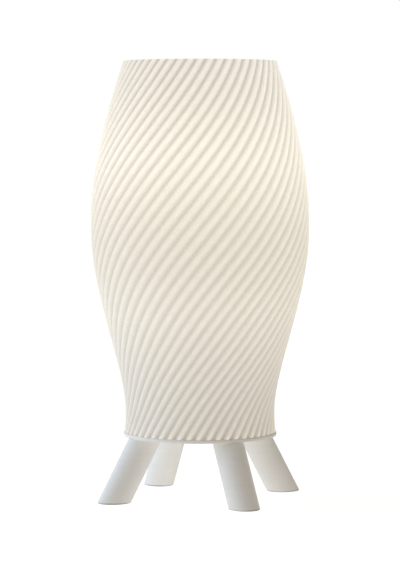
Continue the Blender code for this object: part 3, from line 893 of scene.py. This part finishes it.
@dataclass(frozen=True)
class MetalFinish:
    """Turned or plated metal: fine rings in its shine and a little tarnish."""

    name: str
    colour: Colour
    tarnish: Colour
    roughness: Span
    pitch: float = 0.0004
    grain: float = 1500.0
    relief: Span = (0.00003, 0.25)

    def material(self) -> Material:
        """Builds the material.

        Returns:
            The material.
        """
        paint = Surface(self.name)
        marks = paint.sheen(Effect.BRUSHED, self.roughness, Pitch=self.pitch)
        stains = paint.effect(Effect.GRAIN, Scale=self.grain)["Mask"]
        paint.set("Base Color", paint.blend(stains, self.colour, self.tarnish))
        paint.set("Metallic", 1.0)
        paint.bump(marks["Height"], self.relief)
        return paint.material


@dataclass(frozen=True)
class LitOpalFinish:
    """The bulb's opal globe, evenly lit from inside and a little dimmer at its neck."""

    name: str
    colour: Colour
    lit_colour: Colour
    neck_colour: Colour
    strength: float
    neck: float
    top: float
    roughness: Span = (0.3, 0.42)

    def material(self) -> Material:
        """Builds the material.

        Returns:
            The material.
        """
        paint = Surface(self.name)
        paint.sheen(Effect.GRAIN, self.roughness)
        paint.set("Base Color", self.colour)
        share = paint.ramp(paint.axes()["Z"], self.neck, self.top, 0.0, 1.0, smooth=True)
        paint.set("Emission Color", paint.blend(share, self.neck_colour, self.lit_colour))
        paint.set("Emission Strength", self.strength)
        return paint.material


FINISHES = {
    Slot.PRINTED_BASE: PrintedFinish("printed_ivory", (0.86, 0.835, 0.78), (0.83, 0.80, 0.745)),
    # the shade's glow is painted light, and its darker grooves are painted shade
    Slot.PRINTED_SHADE: GlowingShadeFinish(
        "printed_shade_lit",
        colour=(0.80, 0.80, 0.79),
        groove_shade_colour=(0.72, 0.72, 0.71),
        through_colour=(0.68, 0.675, 0.665),
        groove_shade_through=(0.59, 0.585, 0.575),
        glow_colour=(0.99, 0.912, 0.757),
        glow_edge_colour=(1.0, 0.885, 0.71),
        glow_climb=(0.07, 0.12, 0.176, 0.188),
        glow_bands=((0.140, 0.034, 0.055), (0.250, 0.050, 0.130)),
        foot_light_band=(0.0490, 0.0025, 0.08),
        groove_shade_swing=(0.32, 0.42),
        swing_middle=0.175,
        swing_reach=0.14,
        through_share=(0.05, 0.22, 0.56, 0.88),
    ),
    Slot.MOULDED: MouldedFinish(
        "moulded_white_satin", (0.80, 0.79, 0.75), (0.76, 0.75, 0.71), (0.28, 0.4), coat=0.15
    ),
    Slot.CERAMIC: MouldedFinish(
        "fired_ceramic", (0.84, 0.83, 0.79), (0.74, 0.72, 0.67), (0.45, 0.65), grain=1400.0
    ),
    Slot.BLACK: MouldedFinish(
        "black_glass_insulator",
        (0.02, 0.02, 0.022),
        (0.035, 0.033, 0.034),
        (0.18, 0.3),
        coat=0.4,
    ),
    Slot.BOARD: MouldedFinish(
        "board_green_lacquer", (0.04, 0.2, 0.09), (0.03, 0.14, 0.06), (0.3, 0.5), coat=0.3
    ),
    Slot.STEEL: MetalFinish(
        "zinc_plated_steel", (0.66, 0.66, 0.65), (0.55, 0.55, 0.52), (0.26, 0.42)
    ),
    Slot.BRASS: MetalFinish("bright_brass", (0.80, 0.60, 0.28), (0.66, 0.46, 0.20), (0.2, 0.36)),
    Slot.NICKEL: MetalFinish("nickel_plate", (0.74, 0.72, 0.67), (0.64, 0.61, 0.55), (0.16, 0.3)),
    Slot.ALUMINIUM: MetalFinish(
        "bare_aluminium", (0.80, 0.81, 0.82), (0.72, 0.73, 0.74), (0.3, 0.46)
    ),
    Slot.OPAL: LitOpalFinish(
        "opal_lit",
        colour=(0.62, 0.60, 0.55),
        lit_colour=(1.0, 0.90, 0.68),
        neck_colour=(1.0, 0.82, 0.55),
        strength=0.42,
        neck=0.180,
        top=0.205,
    ),
}


# The lamp's sub-assemblies


Piece = tuple[str, Form | None, Slot]


class Assembly:
    """A sub-assembly whose pieces ride on one body."""

    BODY = Body.BASE

    def pieces(self) -> Iterator[Piece]:
        """Each piece's CAD node, its fine form, or none where the CAD solid shows, and its slot."""
        raise NotImplementedError

    def dress(self, materials: dict[Slot, Material]) -> None:
        """Builds the pieces and gives each its finish.

        Args:
            materials: the finish of each slot.
        """
        for node, form, slot in self.pieces():
            if form is None:
                dress_node(node, materials[slot], slot)
            else:
                add_piece(node, form, materials[slot], self.BODY, slot)


@dataclass
class FlutedShade(Assembly):
    """The printed shade: one thin wall with ribs that wind round a vase-shaped outline."""

    BODY = Body.SHADE
    RISE = "rib_rise"

    base: float = 0.0487
    height: float = 0.2715
    sink: float = 0.0002
    foot: float = 0.0557
    waist: Span = (0.0150, 0.0549)
    belly: Span = (0.1470, 0.0800)
    rim: float = 0.0562
    rim_lean: float = radians(17.8)
    foot_handle: float = 0.0075
    waist_handle: float = 0.0310
    belly_handles: Span = (0.0470, 0.0310)
    rim_handle: float = 0.0715
    wall: float = 0.0014
    ribs: int = 49
    rib_depth: float = 0.0015
    rib_start: float = radians(6.0)
    twist: float = radians(156.6)
    fullness: Span = (0.9, 1.4)
    foot_turn: float = radians(-5.7)
    foot_turn_height: float = 0.074
    rim_turn: float = radians(1.4)
    rim_turn_height: float = 0.086
    steps: tuple[int, int, int] = (6, 46, 44)
    outer_phases: tuple[float, ...] = (-0.4, -0.3, -0.2, -0.1, 0.0, 0.1, 0.2, 0.3, 0.4, 0.5)
    inner_phases: tuple[float, ...] = (-0.4, -0.2, 0.0, 0.2, 0.4, 0.5)
    foot_break: float = 0.0002
    rim_break: float = 0.0004
    inset: float = 0.00005

    def outline(self) -> Outline:
        """The vase's outline, along one Bezier piece for each stretch.

        Returns:
            (height, crest radius) points from foot to rim.
        """
        foot, rim = Vector((0.0, self.foot)), Vector((self.height, self.rim))
        waist, belly, up = Vector(self.waist), Vector(self.belly), Vector((1.0, 0.0))
        below, above = self.belly_handles
        before_waist = waist - self.foot_handle * up
        rim_pull = self.rim_handle * Vector((-cos(self.rim_lean), sin(self.rim_lean)))
        stretches = (
            (foot, foot.lerp(before_waist, 0.5), before_waist, waist),
            (waist, waist + self.waist_handle * up, belly - below * up, belly),
            (belly, belly + above * up, rim + rim_pull, rim),
        )
        points = [foot]
        for stretch, steps in zip(stretches, self.steps):
            points += interpolate_bezier(*stretch, steps + 1)[1:]
        return [(point.x, point.y) for point in points]

    def levels(self) -> Outline:
        """The outline with both outer edges broken, so that they catch the light.

        Returns:
            (height, crest radius) points from foot to rim.
        """
        points = self.outline()
        (low, first), (high, last) = points[0], points[-1]
        low -= self.sink
        foot = [(low, first - self.foot_break), (low + self.foot_break, first)]
        rim = [(high - self.rim_break, last), (high, last - self.rim_break)]
        return [*foot, *points[1:-1], *rim]

    def drop(self, phase: float, level: float) -> float:
        """How far the skin lies below its crest, as a share of the rib's depth."""
        foot, rim = self.fullness
        return swell(2 * pi * phase) ** (foot + (rim - foot) * level / self.height)

    def start(self, level: float) -> float:
        """Where the first rib's crest lies: an even winding, turned a little near each end.

        Args:
            level: the height above the shade's foot.

        Returns:
            The crest's bearing.
        """
        low = max(0.0, 1 - level / self.foot_turn_height)
        high = max(0.0, 1 - (self.height - level) / self.rim_turn_height)
        turns = self.foot_turn * s_curve(low) + self.rim_turn * s_curve(high)
        return self.rib_start + self.twist * level / self.height + turns

    def skin(self, phases: Sequence[float], depth: float) -> list[list[tuple[Point, float]]]:
        """One skin of the wall.

        Args:
            phases: the places of one rib's points, as shares of the pitch from its crest.
            depth: how far the skin lies inside the outer one.

        Returns:
            Its rings from foot to rim: each point with its rise from groove to crest.
        """
        rings: list[list[tuple[Point, float]]] = []
        for level, crest in self.levels():
            start = self.start(level)
            drops = [self.drop(phase, level) for phase in phases]
            ring: list[tuple[Point, float]] = []
            for rib in range(self.ribs):
                for phase, drop in zip(phases, drops):
                    turn = start + 2 * pi * (rib + phase) / self.ribs
                    radius = crest - self.inset - depth - self.rib_depth * drop
                    point = (radius * cos(turn), radius * sin(turn), self.base + level)
                    ring.append((point, 1 - drop))
            rings.append(ring)
        return rings

    def build(self) -> Form:
        """The whole wall: outer skin, inner skin and the scalloped edges that join them.

        Returns:
            The form, with each point's rise from groove to crest.
        """
        form = bmesh.new()
        rise = form.verts.layers.float.new(self.RISE)
        walls = []
        for phases, depth in ((self.outer_phases, 0.0), (self.inner_phases, self.wall)):
            rows = []
            for ring in self.skin(phases, depth):
                rows.append([form.verts.new(point) for point, _ in ring])
                for vert, (_, share) in zip(rows[-1], ring):
                    vert[rise] = share
            for lower, upper in zip(rows, rows[1:]):
                bridge(form, lower, upper)
            walls.append(rows)
        for end in (0, -1):
            wide, narrow = walls[0][end], walls[1][end]
            for index, near in enumerate(narrow):
                span = range(self.across(index), self.across(index + 1) + 1)
                reach = [wide[place % len(wide)] for place in span]
                form.faces.new([*reach, narrow[(index + 1) % len(narrow)], near])
        return form

    def across(self, index: int) -> int:
        """The outer skin's point that faces the inner skin's point at that place in its ring."""
        rib, place = divmod(index, len(self.inner_phases))
        return rib * len(self.outer_phases) + self.outer_phases.index(self.inner_phases[place])

    def pieces(self) -> Iterator[Piece]:
        """The shade."""
        yield "shade", self.build(), Slot.PRINTED_SHADE


@dataclass
class PrintedBase(Assembly):
    """The round plate with its ring and boss, and the four splayed legs screwed under it."""

    plate_radius: float = 0.0563
    plate_low: float = 0.0460
    plate_high: float = 0.0484
    plate_round: float = 0.0007
    plate_round_steps: int = 5
    plate_edge: float = 0.0003
    ring_outer: float = 0.0515
    ring_inner: float = 0.0495
    ring_top: float = 0.0534
    boss_radius: float = 0.0150
    boss_top: float = 0.0514
    stem_hole: float = 0.0053
    leg_radius: float = 0.0110
    leg_splay: float = radians(29.2)
    leg_overhang: float = 0.0005
    leg_gap: float = 0.00005
    leg_foot_edge: float = 0.0007
    leg_foot_turns: tuple[float, ...] = (pi / 2, pi / 3, pi / 6, 0.0)
    screw_circle: float = 0.0442
    screw_hole: float = 0.0023
    pocket_radius: float = 0.0037
    pocket_floor: float = 0.0374
    screw_radius: float = 0.0020
    screw_length: float = 0.0100
    screw_point: float = 0.0004
    head_radius: float = 0.0037
    head_height: float = 0.0024
    head_edge: float = 0.0005
    head_turns: tuple[float, ...] = (0.0, pi / 8, pi / 4, pi / 3.1)
    socket_flats: float = 0.0025
    socket_depth: float = 0.0014
    sides: int = 128
    leg_sides: int = 64
    screw_sides: int = 36

    @property
    def half_width(self) -> float:
        """Half of a leg's level slice, along its lean."""
        return self.leg_radius / cos(self.leg_splay)

    @property
    def leg_top_radius(self) -> float:
        """How far from the lamp's axis a leg's middle meets the plate."""
        return self.plate_radius + self.leg_overhang - self.half_width

    def plate(self) -> Form:
        """The plate, bored for its screws.

        Returns:
            The form.
        """
        rim = (self.plate_radius - self.plate_round, self.plate_high - self.plate_round)
        outline = [
            (self.stem_hole, self.boss_top),
            (self.boss_radius, self.boss_top),
            (self.boss_radius + self.boss_top - self.plate_high, self.plate_high),
            (self.ring_inner, self.plate_high),
            (self.ring_inner, self.ring_top),
            (self.ring_outer, self.ring_top),
            (self.ring_outer, self.plate_high),
            *arc(rim, (self.plate_round, self.plate_round), parts(pi / 2, self.plate_round_steps)),
            (self.plate_radius, self.plate_low),
            (self.stem_hole, self.plate_low),
        ]
        turns = [radians(corner.value) for corner in Corner]
        holes = [(self.screw_circle * cos(turn), self.screw_circle * sin(turn)) for turn in turns]
        return bored(turned(eased(outline, self.plate_edge), self.sides), holes, self.screw_hole)

    def leg(self, corner: Corner) -> Form:
        """A leaning round leg, flat at its foot and top, with its insert's pocket.

        Args:
            corner: which leg it is.

        Returns:
            The form.
        """
        top, edge = self.plate_low - self.leg_gap, self.leg_foot_edge
        levels = [(edge * (1 - sin(turn)), edge * (1 - cos(turn))) for turn in self.leg_foot_turns]
        rings = [self.leg_slice(*level) for level in (*levels, (top, 0.0))]
        for height in (top, self.pocket_floor):
            pocket = circle(self.pocket_radius, height, self.leg_sides)
            rings.append([(self.screw_circle + x, y, z) for x, y, z in pocket])
        return self.turned_to(skinned(rings), corner)

    def leg_slice(self, height: float, inset: float) -> list[Point]:
        """A level slice of a leg that leans out along +X.

        Args:
            height: the slice's height on the lamp.
            inset: how far it lies inside the leg's outline.

        Returns:
            Its ring of points.
        """
        middle = self.leg_top_radius + (self.plate_low - height) * tan(self.leg_splay)
        along, across = self.half_width - inset, self.leg_radius - inset
        unit = circle(1.0, height, self.leg_sides)
        return [(middle + along * x, across * y, z) for x, y, z in unit]

    def screw(self, corner: Corner) -> Form:
        """A button-head screw with a hexagon socket.

        Args:
            corner: which leg it holds.

        Returns:
            The form.
        """
        sides, seat = self.screw_sides, self.plate_high + SEAT_GAP
        crown = (self.head_radius, self.head_height - self.head_edge)
        dome = arc((0.0, self.head_edge), crown, [pi / 2 - turn for turn in self.head_turns])
        outline = [
            (self.screw_radius - self.screw_point, -self.screw_length),
            (self.screw_radius, self.screw_point - self.screw_length),
            (self.screw_radius, 0.0),
            (self.head_radius, 0.0),
            *dome,
        ]
        rings = [circle(radius, height, sides) for radius, height in outline]
        for height in (dome[-1][1], self.head_height - self.socket_depth):
            rings.append(hexagon(self.socket_flats, height, sides))
        placed = [[(self.screw_circle + x, y, seat + z) for x, y, z in ring] for ring in rings]
        return self.turned_to(skinned(placed), corner)

    @staticmethod
    def turned_to(form: Form, corner: Corner) -> Form:
        """Turns a form from +X to a leg's bearing.

        Args:
            form: the form.
            corner: the leg.

        Returns:
            The same form.
        """
        turn = radians(corner.value)
        for vert in form.verts:
            x, y, z = vert.co
            vert.co = (x * cos(turn) - y * sin(turn), x * sin(turn) + y * cos(turn), z)
        return form

    def pieces(self) -> Iterator[Piece]:
        """The plate, and each corner's leg, screw and insert.

        Returns:
            Each piece's node, form and slot.
        """
        yield "base_plate", self.plate(), Slot.PRINTED_BASE
        for corner in Corner:
            yield f"leg_{corner.label}", self.leg(corner), Slot.PRINTED_BASE
            yield f"leg_screw_{corner.label}", self.screw(corner), Slot.STEEL
            yield f"leg_insert_{corner.label}", None, Slot.BRASS


@dataclass
class Stem(Assembly):
    """The hollow stem that carries the holder, with its nuts, washer and cord bush."""

    radius: float = 0.0050
    bore: float = 0.0038
    low: float = 0.0427
    high: float = 0.0964
    hole: float = 0.0053
    thread_pitch: float = 0.0010
    thread_depth: float = 0.0003
    thread_land: float = 0.0002
    flats: float = 0.0150
    nut_ease: float = 0.12
    washer_radius: float = 0.0105
    washer: Span = (0.0517, 0.0529)
    washer_edge: float = 0.0003
    nuts: tuple[tuple[str, Span], ...] = (
        ("stem_lower_nut", (0.0431, 0.0457)),
        ("stem_upper_nut", (0.0532, 0.0572)),
        ("holder_lock_nut", (0.0841, 0.0881)),
    )
    flange_radius: float = 0.0062
    flange: Span = (0.0411, 0.0424)
    spigot: float = 0.0035
    spigot_top: float = 0.0504
    bush_wall: float = 0.0008
    bush_edge: float = 0.0007
    bush_edge_steps: int = 4
    sides: int = 48

    def tube(self) -> Form:
        """The tube, with its outside cut by the rings of a fine thread.

        Returns:
            The form.
        """
        root, half = self.radius - self.thread_depth, self.thread_land / 2
        turns = round((self.high - self.low) / self.thread_pitch)
        outside: Outline = [(root, self.low)]
        for turn in range(turns):
            middle = self.low + (turn + 0.5) * (self.high - self.low) / turns
            outside += [(self.radius, middle - half), (self.radius, middle + half)]
            outside.append((root, middle + self.thread_pitch / 2 - half / 2))
        outside[-1] = (root, self.high)
        return turned([*outside, (self.bore, self.high), (self.bore, self.low)], self.sides)

    def nut(self, low: float, high: float) -> Form:
        """A hexagon nut, chamfered on both faces.

        Args:
            low: its lower face.
            high: its upper face.

        Returns:
            The form.
        """
        ease, sides = self.nut_ease * (high - low), self.sides
        rings = [
            circle(self.hole, low, sides),
            circle(self.flats / 2, low, sides),
            hexagon(self.flats, low + ease, sides),
            hexagon(self.flats, high - ease, sides),
            circle(self.flats / 2, high, sides),
            circle(self.hole, high, sides),
        ]
        return skinned(rings, capped=False)

    def washer_form(self) -> Form:
        """The flat washer on the plate's boss.

        Returns:
            The form.
        """
        low, high = self.washer
        inner, outer = self.hole, self.washer_radius
        outline = [(inner, high), (outer, high), (outer, low), (inner, low)]
        return turned(eased(outline, self.washer_edge), self.sides)

    def bush(self) -> Form:
        """The flanged bush that lines the stem's lower end.

        Returns:
            The form.
        """
        bottom, top = self.flange
        inner = self.spigot - self.bush_wall
        outline = [
            (inner, self.spigot_top),
            (self.spigot, self.spigot_top),
            (self.spigot, top),
            (self.flange_radius, top),
            (self.flange_radius, bottom),
            (inner, bottom),
        ]
        return turned(eased(outline, self.bush_edge, self.bush_edge_steps), self.sides)

    def pieces(self) -> Iterator[Piece]:
        """The tube, washer, nuts and bush.

        Returns:
            Each piece's node, form and slot.
        """
        yield "stem_tube", self.tube(), Slot.STEEL
        yield "stem_washer", self.washer_form(), Slot.STEEL
        for node, faces in self.nuts:
            yield node, self.nut(*faces), Slot.STEEL
        yield "cord_bush", self.bush(), Slot.MOULDED


@dataclass
class LampHolder(Assembly):
    """The two-part holder round its contact block and screw sleeve."""

    base: float = 0.0884
    collar_radius: float = 0.0090
    collar_height: float = 0.0080
    shoulder: float = 0.1084
    floor: float = 0.0986
    neck_inner: float = 0.0149
    neck_outer: float = 0.0164
    neck_top: float = 0.1134
    dome_steps: int = 8
    cap_edge: float = 0.0004
    cap_edge_steps: int = 2
    sleeve: Span = (0.1230, 0.1470)
    sleeve_radii: Span = (0.0137, 0.0140)
    sleeve_wall: float = 0.0003
    thread_pitch: float = 0.0036
    shell_inner: float = 0.0167
    shell_outer: float = 0.0187
    shell_top: float = 0.1491
    shell_mouth: float = 0.0143
    shell_lip: float = 0.0018
    shell_edge: float = 0.0005
    grip_count: int = 36
    grip_depth: float = 0.0004
    grip_ends: Span = (0.006, 0.012)
    grip_slack: float = 0.002
    grip_skin: float = 0.0002
    stem_hole: float = 0.0053
    sides: int = 72

    def cap(self) -> Form:
        """The domed lower half with its collar and neck.

        Returns:
            The form.
        """
        start = self.base + self.collar_height
        rise = (self.shoulder - self.base - self.collar_height) / 2
        reach = (self.shell_outer - self.collar_radius, -rise)
        dome = arc((self.collar_radius, start + rise), reach, parts(pi / 2, self.dome_steps))
        outline = [
            (self.stem_hole, self.floor),
            (self.neck_inner - rise, self.floor),
            (self.neck_inner, self.floor + rise),
            (self.neck_inner, self.neck_top),
            (self.neck_outer, self.neck_top),
            (self.neck_outer, self.shoulder),
            (self.shell_outer, self.shoulder),
            *reversed(dome),
            (self.collar_radius, self.base),
            (self.stem_hole, self.base),
        ]
        return turned(eased(outline, self.cap_edge, self.cap_edge_steps), self.sides)

    def shell(self) -> Form:
        """The upper half: a skirt with shallow grip flutes and a lip round the bulb's cap.

        Returns:
            The form.
        """
        low, top, lip = self.shoulder + SEAT_GAP, self.shell_top, self.shell_lip
        grip_low, grip_top = low + self.grip_ends[0], top - self.grip_ends[1]
        outline = [
            (self.shell_mouth, top),
            (self.shell_outer - lip, top),
            (self.shell_outer, top - lip),
            (self.shell_outer, grip_top),
            (self.shell_outer, grip_low),
            (self.shell_outer, low),
            (self.shell_inner, low),
            (self.shell_inner, top - lip),
            (self.shell_mouth, top - lip),
        ]
        form = turned(eased(outline, self.shell_edge), 4 * self.grip_count)
        for vert in form.verts:
            x, y, z = vert.co
            reach = Vector((x, y)).length
            outside = reach > self.shell_outer - self.grip_skin
            if outside and grip_low - self.grip_slack < z < grip_top + self.grip_slack:
                share = 1 - self.grip_depth / reach * swell(self.grip_count * bearing(x, y))
                vert.co.x, vert.co.y = x * share, y * share
        return form

    def pieces(self) -> Iterator[Piece]:
        """The cap, shell and sleeve, and the block and contacts inside them.

        Returns:
            Each piece's node, form and slot.
        """
        yield "holder_cap", self.cap(), Slot.MOULDED
        yield "holder_shell", self.shell(), Slot.MOULDED
        thread = (self.thread_pitch, self.sleeve_wall, self.sides)
        yield "holder_sleeve", threaded(self.sleeve_radii, self.sleeve, *thread), Slot.BRASS
        yield "holder_block", None, Slot.CERAMIC
        for node in ("holder_terminal_left", "holder_terminal_right", "holder_contact"):
            yield node, None, Slot.BRASS


@dataclass
class ScrewBulb(Assembly):
    """The screw bulb: threaded cap, flared housing and lit opal globe."""

    BODY = Body.BULB

    cap: Span = (0.1340, 0.1540)
    cap_radii: Span = (0.01275, 0.0131)
    cap_wall: float = 0.0003
    thread_pitch: float = 0.0036
    throat: float = 0.0141
    housing: Span = (0.1543, 0.1848)
    housing_rim: float = 0.0275
    housing_wall: float = 0.0016
    housing_inset: float = 0.0005
    housing_steps: int = 20
    bead_depth: float = 0.0004
    bead_place: float = 0.9
    bead_reach: float = 0.05
    plug_radius: float = 0.0123
    plug_depth: float = 0.0110
    ledge_radius: float = 0.0237
    ledge_height: float = 0.1826
    globe_low: float = 0.1851
    globe_radius: float = 0.0300
    globe_centre: float = 0.2071
    globe_wall: float = 0.0012
    globe_steps: int = 28
    sides: int = 72

    def housing_form(self) -> Form:
        """The flared housing, with a fine bead under its rim.

        Returns:
            The form.
        """
        low, high = self.housing
        outside: Outline = []
        for share in parts(1.0, self.housing_steps):
            bead = self.bead_depth * max(0.0, 1 - abs(share - self.bead_place) / self.bead_reach)
            radius = self.throat + (self.housing_rim - self.throat) * s_curve(share) - bead
            outside.append((radius, low + (high - low) * share))
        thick = self.housing_wall + self.housing_inset
        inside = [
            (radius - thick, height)
            for radius, height in outside
            if radius - thick < self.ledge_radius and height < self.ledge_height
        ]
        rim_inner, plug_inner = [
            radius - self.housing_wall for radius in (self.housing_rim, self.plug_radius)
        ]
        outline = [
            *reversed(outside),
            (self.plug_radius, low),
            (self.plug_radius, low - self.plug_depth),
            (plug_inner, low - self.plug_depth),
            (plug_inner, low),
            *inside[1:],
            (self.ledge_radius, self.ledge_height),
            (rim_inner, self.ledge_height),
            (rim_inner, high),
        ]
        return turned(outline, self.sides)

    def globe_form(self) -> Form:
        """The round opal shell whose skirt stands on the housing's rim.

        Returns:
            The form.
        """
        radius, centre, rim = self.globe_radius, self.globe_centre, self.housing_rim
        lowest = pi / 2 + Vector((rim, 0.0)).angle(Vector((rim, sqrt(radius**2 - rim**2))))
        outside = arc((0.0, centre), (radius, radius), parts(lowest, self.globe_steps))
        share = 1 - self.globe_wall / radius
        inside = [(share * across, centre + share * (z - centre)) for across, z in outside]
        skirt = [(rim, self.globe_low), (share * rim, self.globe_low)]
        return turned([*outside, *skirt, *reversed(inside)], self.sides)

    def pieces(self) -> Iterator[Piece]:
        """The screw cap, housing and globe, and the bulb's inner pieces.

        Returns:
            Each piece's node, form and slot.
        """
        thread = (self.thread_pitch, self.cap_wall, self.sides)
        yield "bulb_cap", threaded(self.cap_radii, self.cap, *thread), Slot.NICKEL
        yield "bulb_housing", self.housing_form(), Slot.MOULDED
        yield "bulb_globe", self.globe_form(), Slot.OPAL
        yield "bulb_tip", None, Slot.NICKEL
        yield "bulb_insulator", None, Slot.BLACK
        yield "bulb_led_board", None, Slot.ALUMINIUM
        yield "bulb_driver", None, Slot.BOARD


# The studio


@dataclass(frozen=True)
class SoftPanel:
    """A soft square light aimed at the lamp."""

    name: str
    azimuth: float
    elevation: float
    distance: float
    size: float
    power: float
    colour: Colour

    def hang(self, target: Vector) -> None:
        """Hangs the panel at its bearing and height, and aims it.

        Args:
            target: the place that it is aimed at.
        """
        turn, lift = radians(self.azimuth), radians(self.elevation)
        away = Vector((sin(turn) * cos(lift), -cos(turn) * cos(lift), sin(lift)))
        light = bpy.data.lights.new(self.name, "AREA")
        light.size, light.energy, light.color = self.size, self.power, self.colour
        obj = link_new(self.name, light)
        obj.location = target + self.distance * away
        obj.rotation_euler = (-away).to_track_quat("-Z", "Y").to_euler()
        obj.visible_camera = False


@dataclass
class Studio:
    """Pale floor, soft panels, white surroundings and the camera at the photograph's place."""

    frame_long_side: int = 570
    sensor: float = 36.0
    camera_bearing: float = radians(18.12)
    camera_distance: float = 1.8194
    camera_height: float = 0.2692
    camera_tilt: float = 0.062
    camera_clip: Span = (0.05, 50.0)
    focal_pixels: float = 2483.4
    floor_radius: float = 6.0
    floor_sides: int = 96
    floor_colour: float = 0.40
    floor_shadow_share: float = 0.40
    floor_white: float = 0.855
    floor_fade: Span = (0.25, 0.9)
    floor_light: float = 0.67
    ambient: Colour = (0.295, 0.26, 0.217)
    white: Colour = (1.0, 1.0, 1.0)
    target: Point = (0.0, 0.0, 0.17)
    panels: tuple[SoftPanel, ...] = (
        SoftPanel(
            "panel_key",
            azimuth=-80.0,
            elevation=30.0,
            distance=2.0,
            size=2.6,
            power=34.8,
            colour=(0.648, 0.806, 1.0),
        ),
        SoftPanel(
            "panel_low_left",
            azimuth=-66.0,
            elevation=-12.0,
            distance=0.55,
            size=0.2,
            power=0.4,
            colour=(0.34, 0.57, 1.0),
        ),
    )

    def camera(self) -> None:
        """Sets up the camera."""
        data = bpy.data.cameras.new("photo_camera")
        data.sensor_width = self.sensor
        data.lens = self.focal_pixels * self.sensor / self.frame_long_side
        data.clip_start, data.clip_end = self.camera_clip
        obj = link_new("photo_camera", data)
        out = Vector((sin(self.camera_bearing), -cos(self.camera_bearing), 0.0))
        obj.location = self.camera_distance * out + Vector((0.0, 0.0, self.camera_height))
        obj.rotation_euler = (pi / 2 - self.camera_tilt, 0.0, self.camera_bearing)
        bpy.context.scene.camera = obj

    def surroundings(self) -> None:
        """White where the camera looks past the lamp, and an even ambient light on it."""
        world = bpy.data.worlds.new("studio")
        bpy.context.scene.world = world
        world.use_nodes = True
        graph = Graph(world.node_tree)
        shaders = []
        for colour in (self.ambient, self.white):
            shaders.append(graph.add("Background"))
            graph.feed(colour, shaders[-1].inputs["Color"])
        graph.mix(self.seen(graph), *shaders, graph.add("OutputWorld"))

    @staticmethod
    def seen(graph: Graph) -> Socket:
        """One where the camera, a reflection or glass looks at the surroundings.

        Args:
            graph: the graph to add it to.

        Returns:
            One or zero.
        """
        path = graph.add("LightPath").outputs
        direct = graph.math("MAXIMUM", path["Is Camera Ray"], path["Is Glossy Ray"])
        return graph.math("MAXIMUM", direct, path["Is Transmission Ray"])

    def floor_material(self) -> Material:
        """A pale matt floor that reads white and keeps the lamp's soft shadow.

        Returns:
            The material.
        """
        material = bpy.data.materials.new("pale_floor")
        material.use_nodes = True
        graph = Graph(material.node_tree)
        length = graph.add("VectorMath", operation="LENGTH")
        graph.join(graph.place(), length.inputs[0])
        out = length.outputs["Value"]
        far = graph.ramp(out, *self.floor_fade, self.floor_white, 1.0, smooth=True)
        shaders = []
        for grey, light in ((self.floor_colour, self.floor_light), (self.floor_shadow_share, far)):
            kinds = ("BsdfDiffuse", "Emission", "AddShader")
            matt, glow, both = [graph.add(kind) for kind in kinds]
            graph.feed((grey, grey, grey), matt.inputs["Color"])
            graph.feed(light, glow.inputs["Strength"])
            graph.join(matt.outputs[0], both.inputs[0])
            graph.join(glow.outputs[0], both.inputs[1])
            shaders.append(both)
        graph.mix(self.seen(graph), *shaders, graph.add("OutputMaterial"))
        return material

    def floor(self) -> None:
        """Lays the floor."""
        form = bmesh.new()
        ring = {"segments": self.floor_sides, "radius": self.floor_radius}
        bmesh.ops.create_circle(form, cap_ends=True, **ring)
        mesh = bpy.data.meshes.new("floor")
        form.to_mesh(mesh)
        form.free()
        mesh.materials.append(self.floor_material())
        obj = link_new("floor", mesh)
        obj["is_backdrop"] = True

    def set_up(self) -> None:
        """Sets up the whole studio."""
        bpy.context.scene.view_settings.view_transform = "Standard"
        self.camera()
        self.surroundings()
        self.floor()
        for panel in self.panels:
            panel.hang(Vector(self.target))


def main() -> None:
    """Builds the lamp's sub-assemblies in order, then the studio."""
    logging.basicConfig(level=logging.INFO, format="%(name)s: %(message)s")
    materials = {slot: finish.material() for slot, finish in FINISHES.items()}
    for assembly in (PrintedBase(), Stem(), LampHolder(), ScrewBulb(), FlutedShade()):
        assembly.dress(materials)
    Studio().set_up()
    boxes = {"cad": CAD_BOX, "visual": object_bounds()}
    {name: [list(corner) for corner in box] for name, box in boxes.items()}


if __name__ == "__main__":
    main()
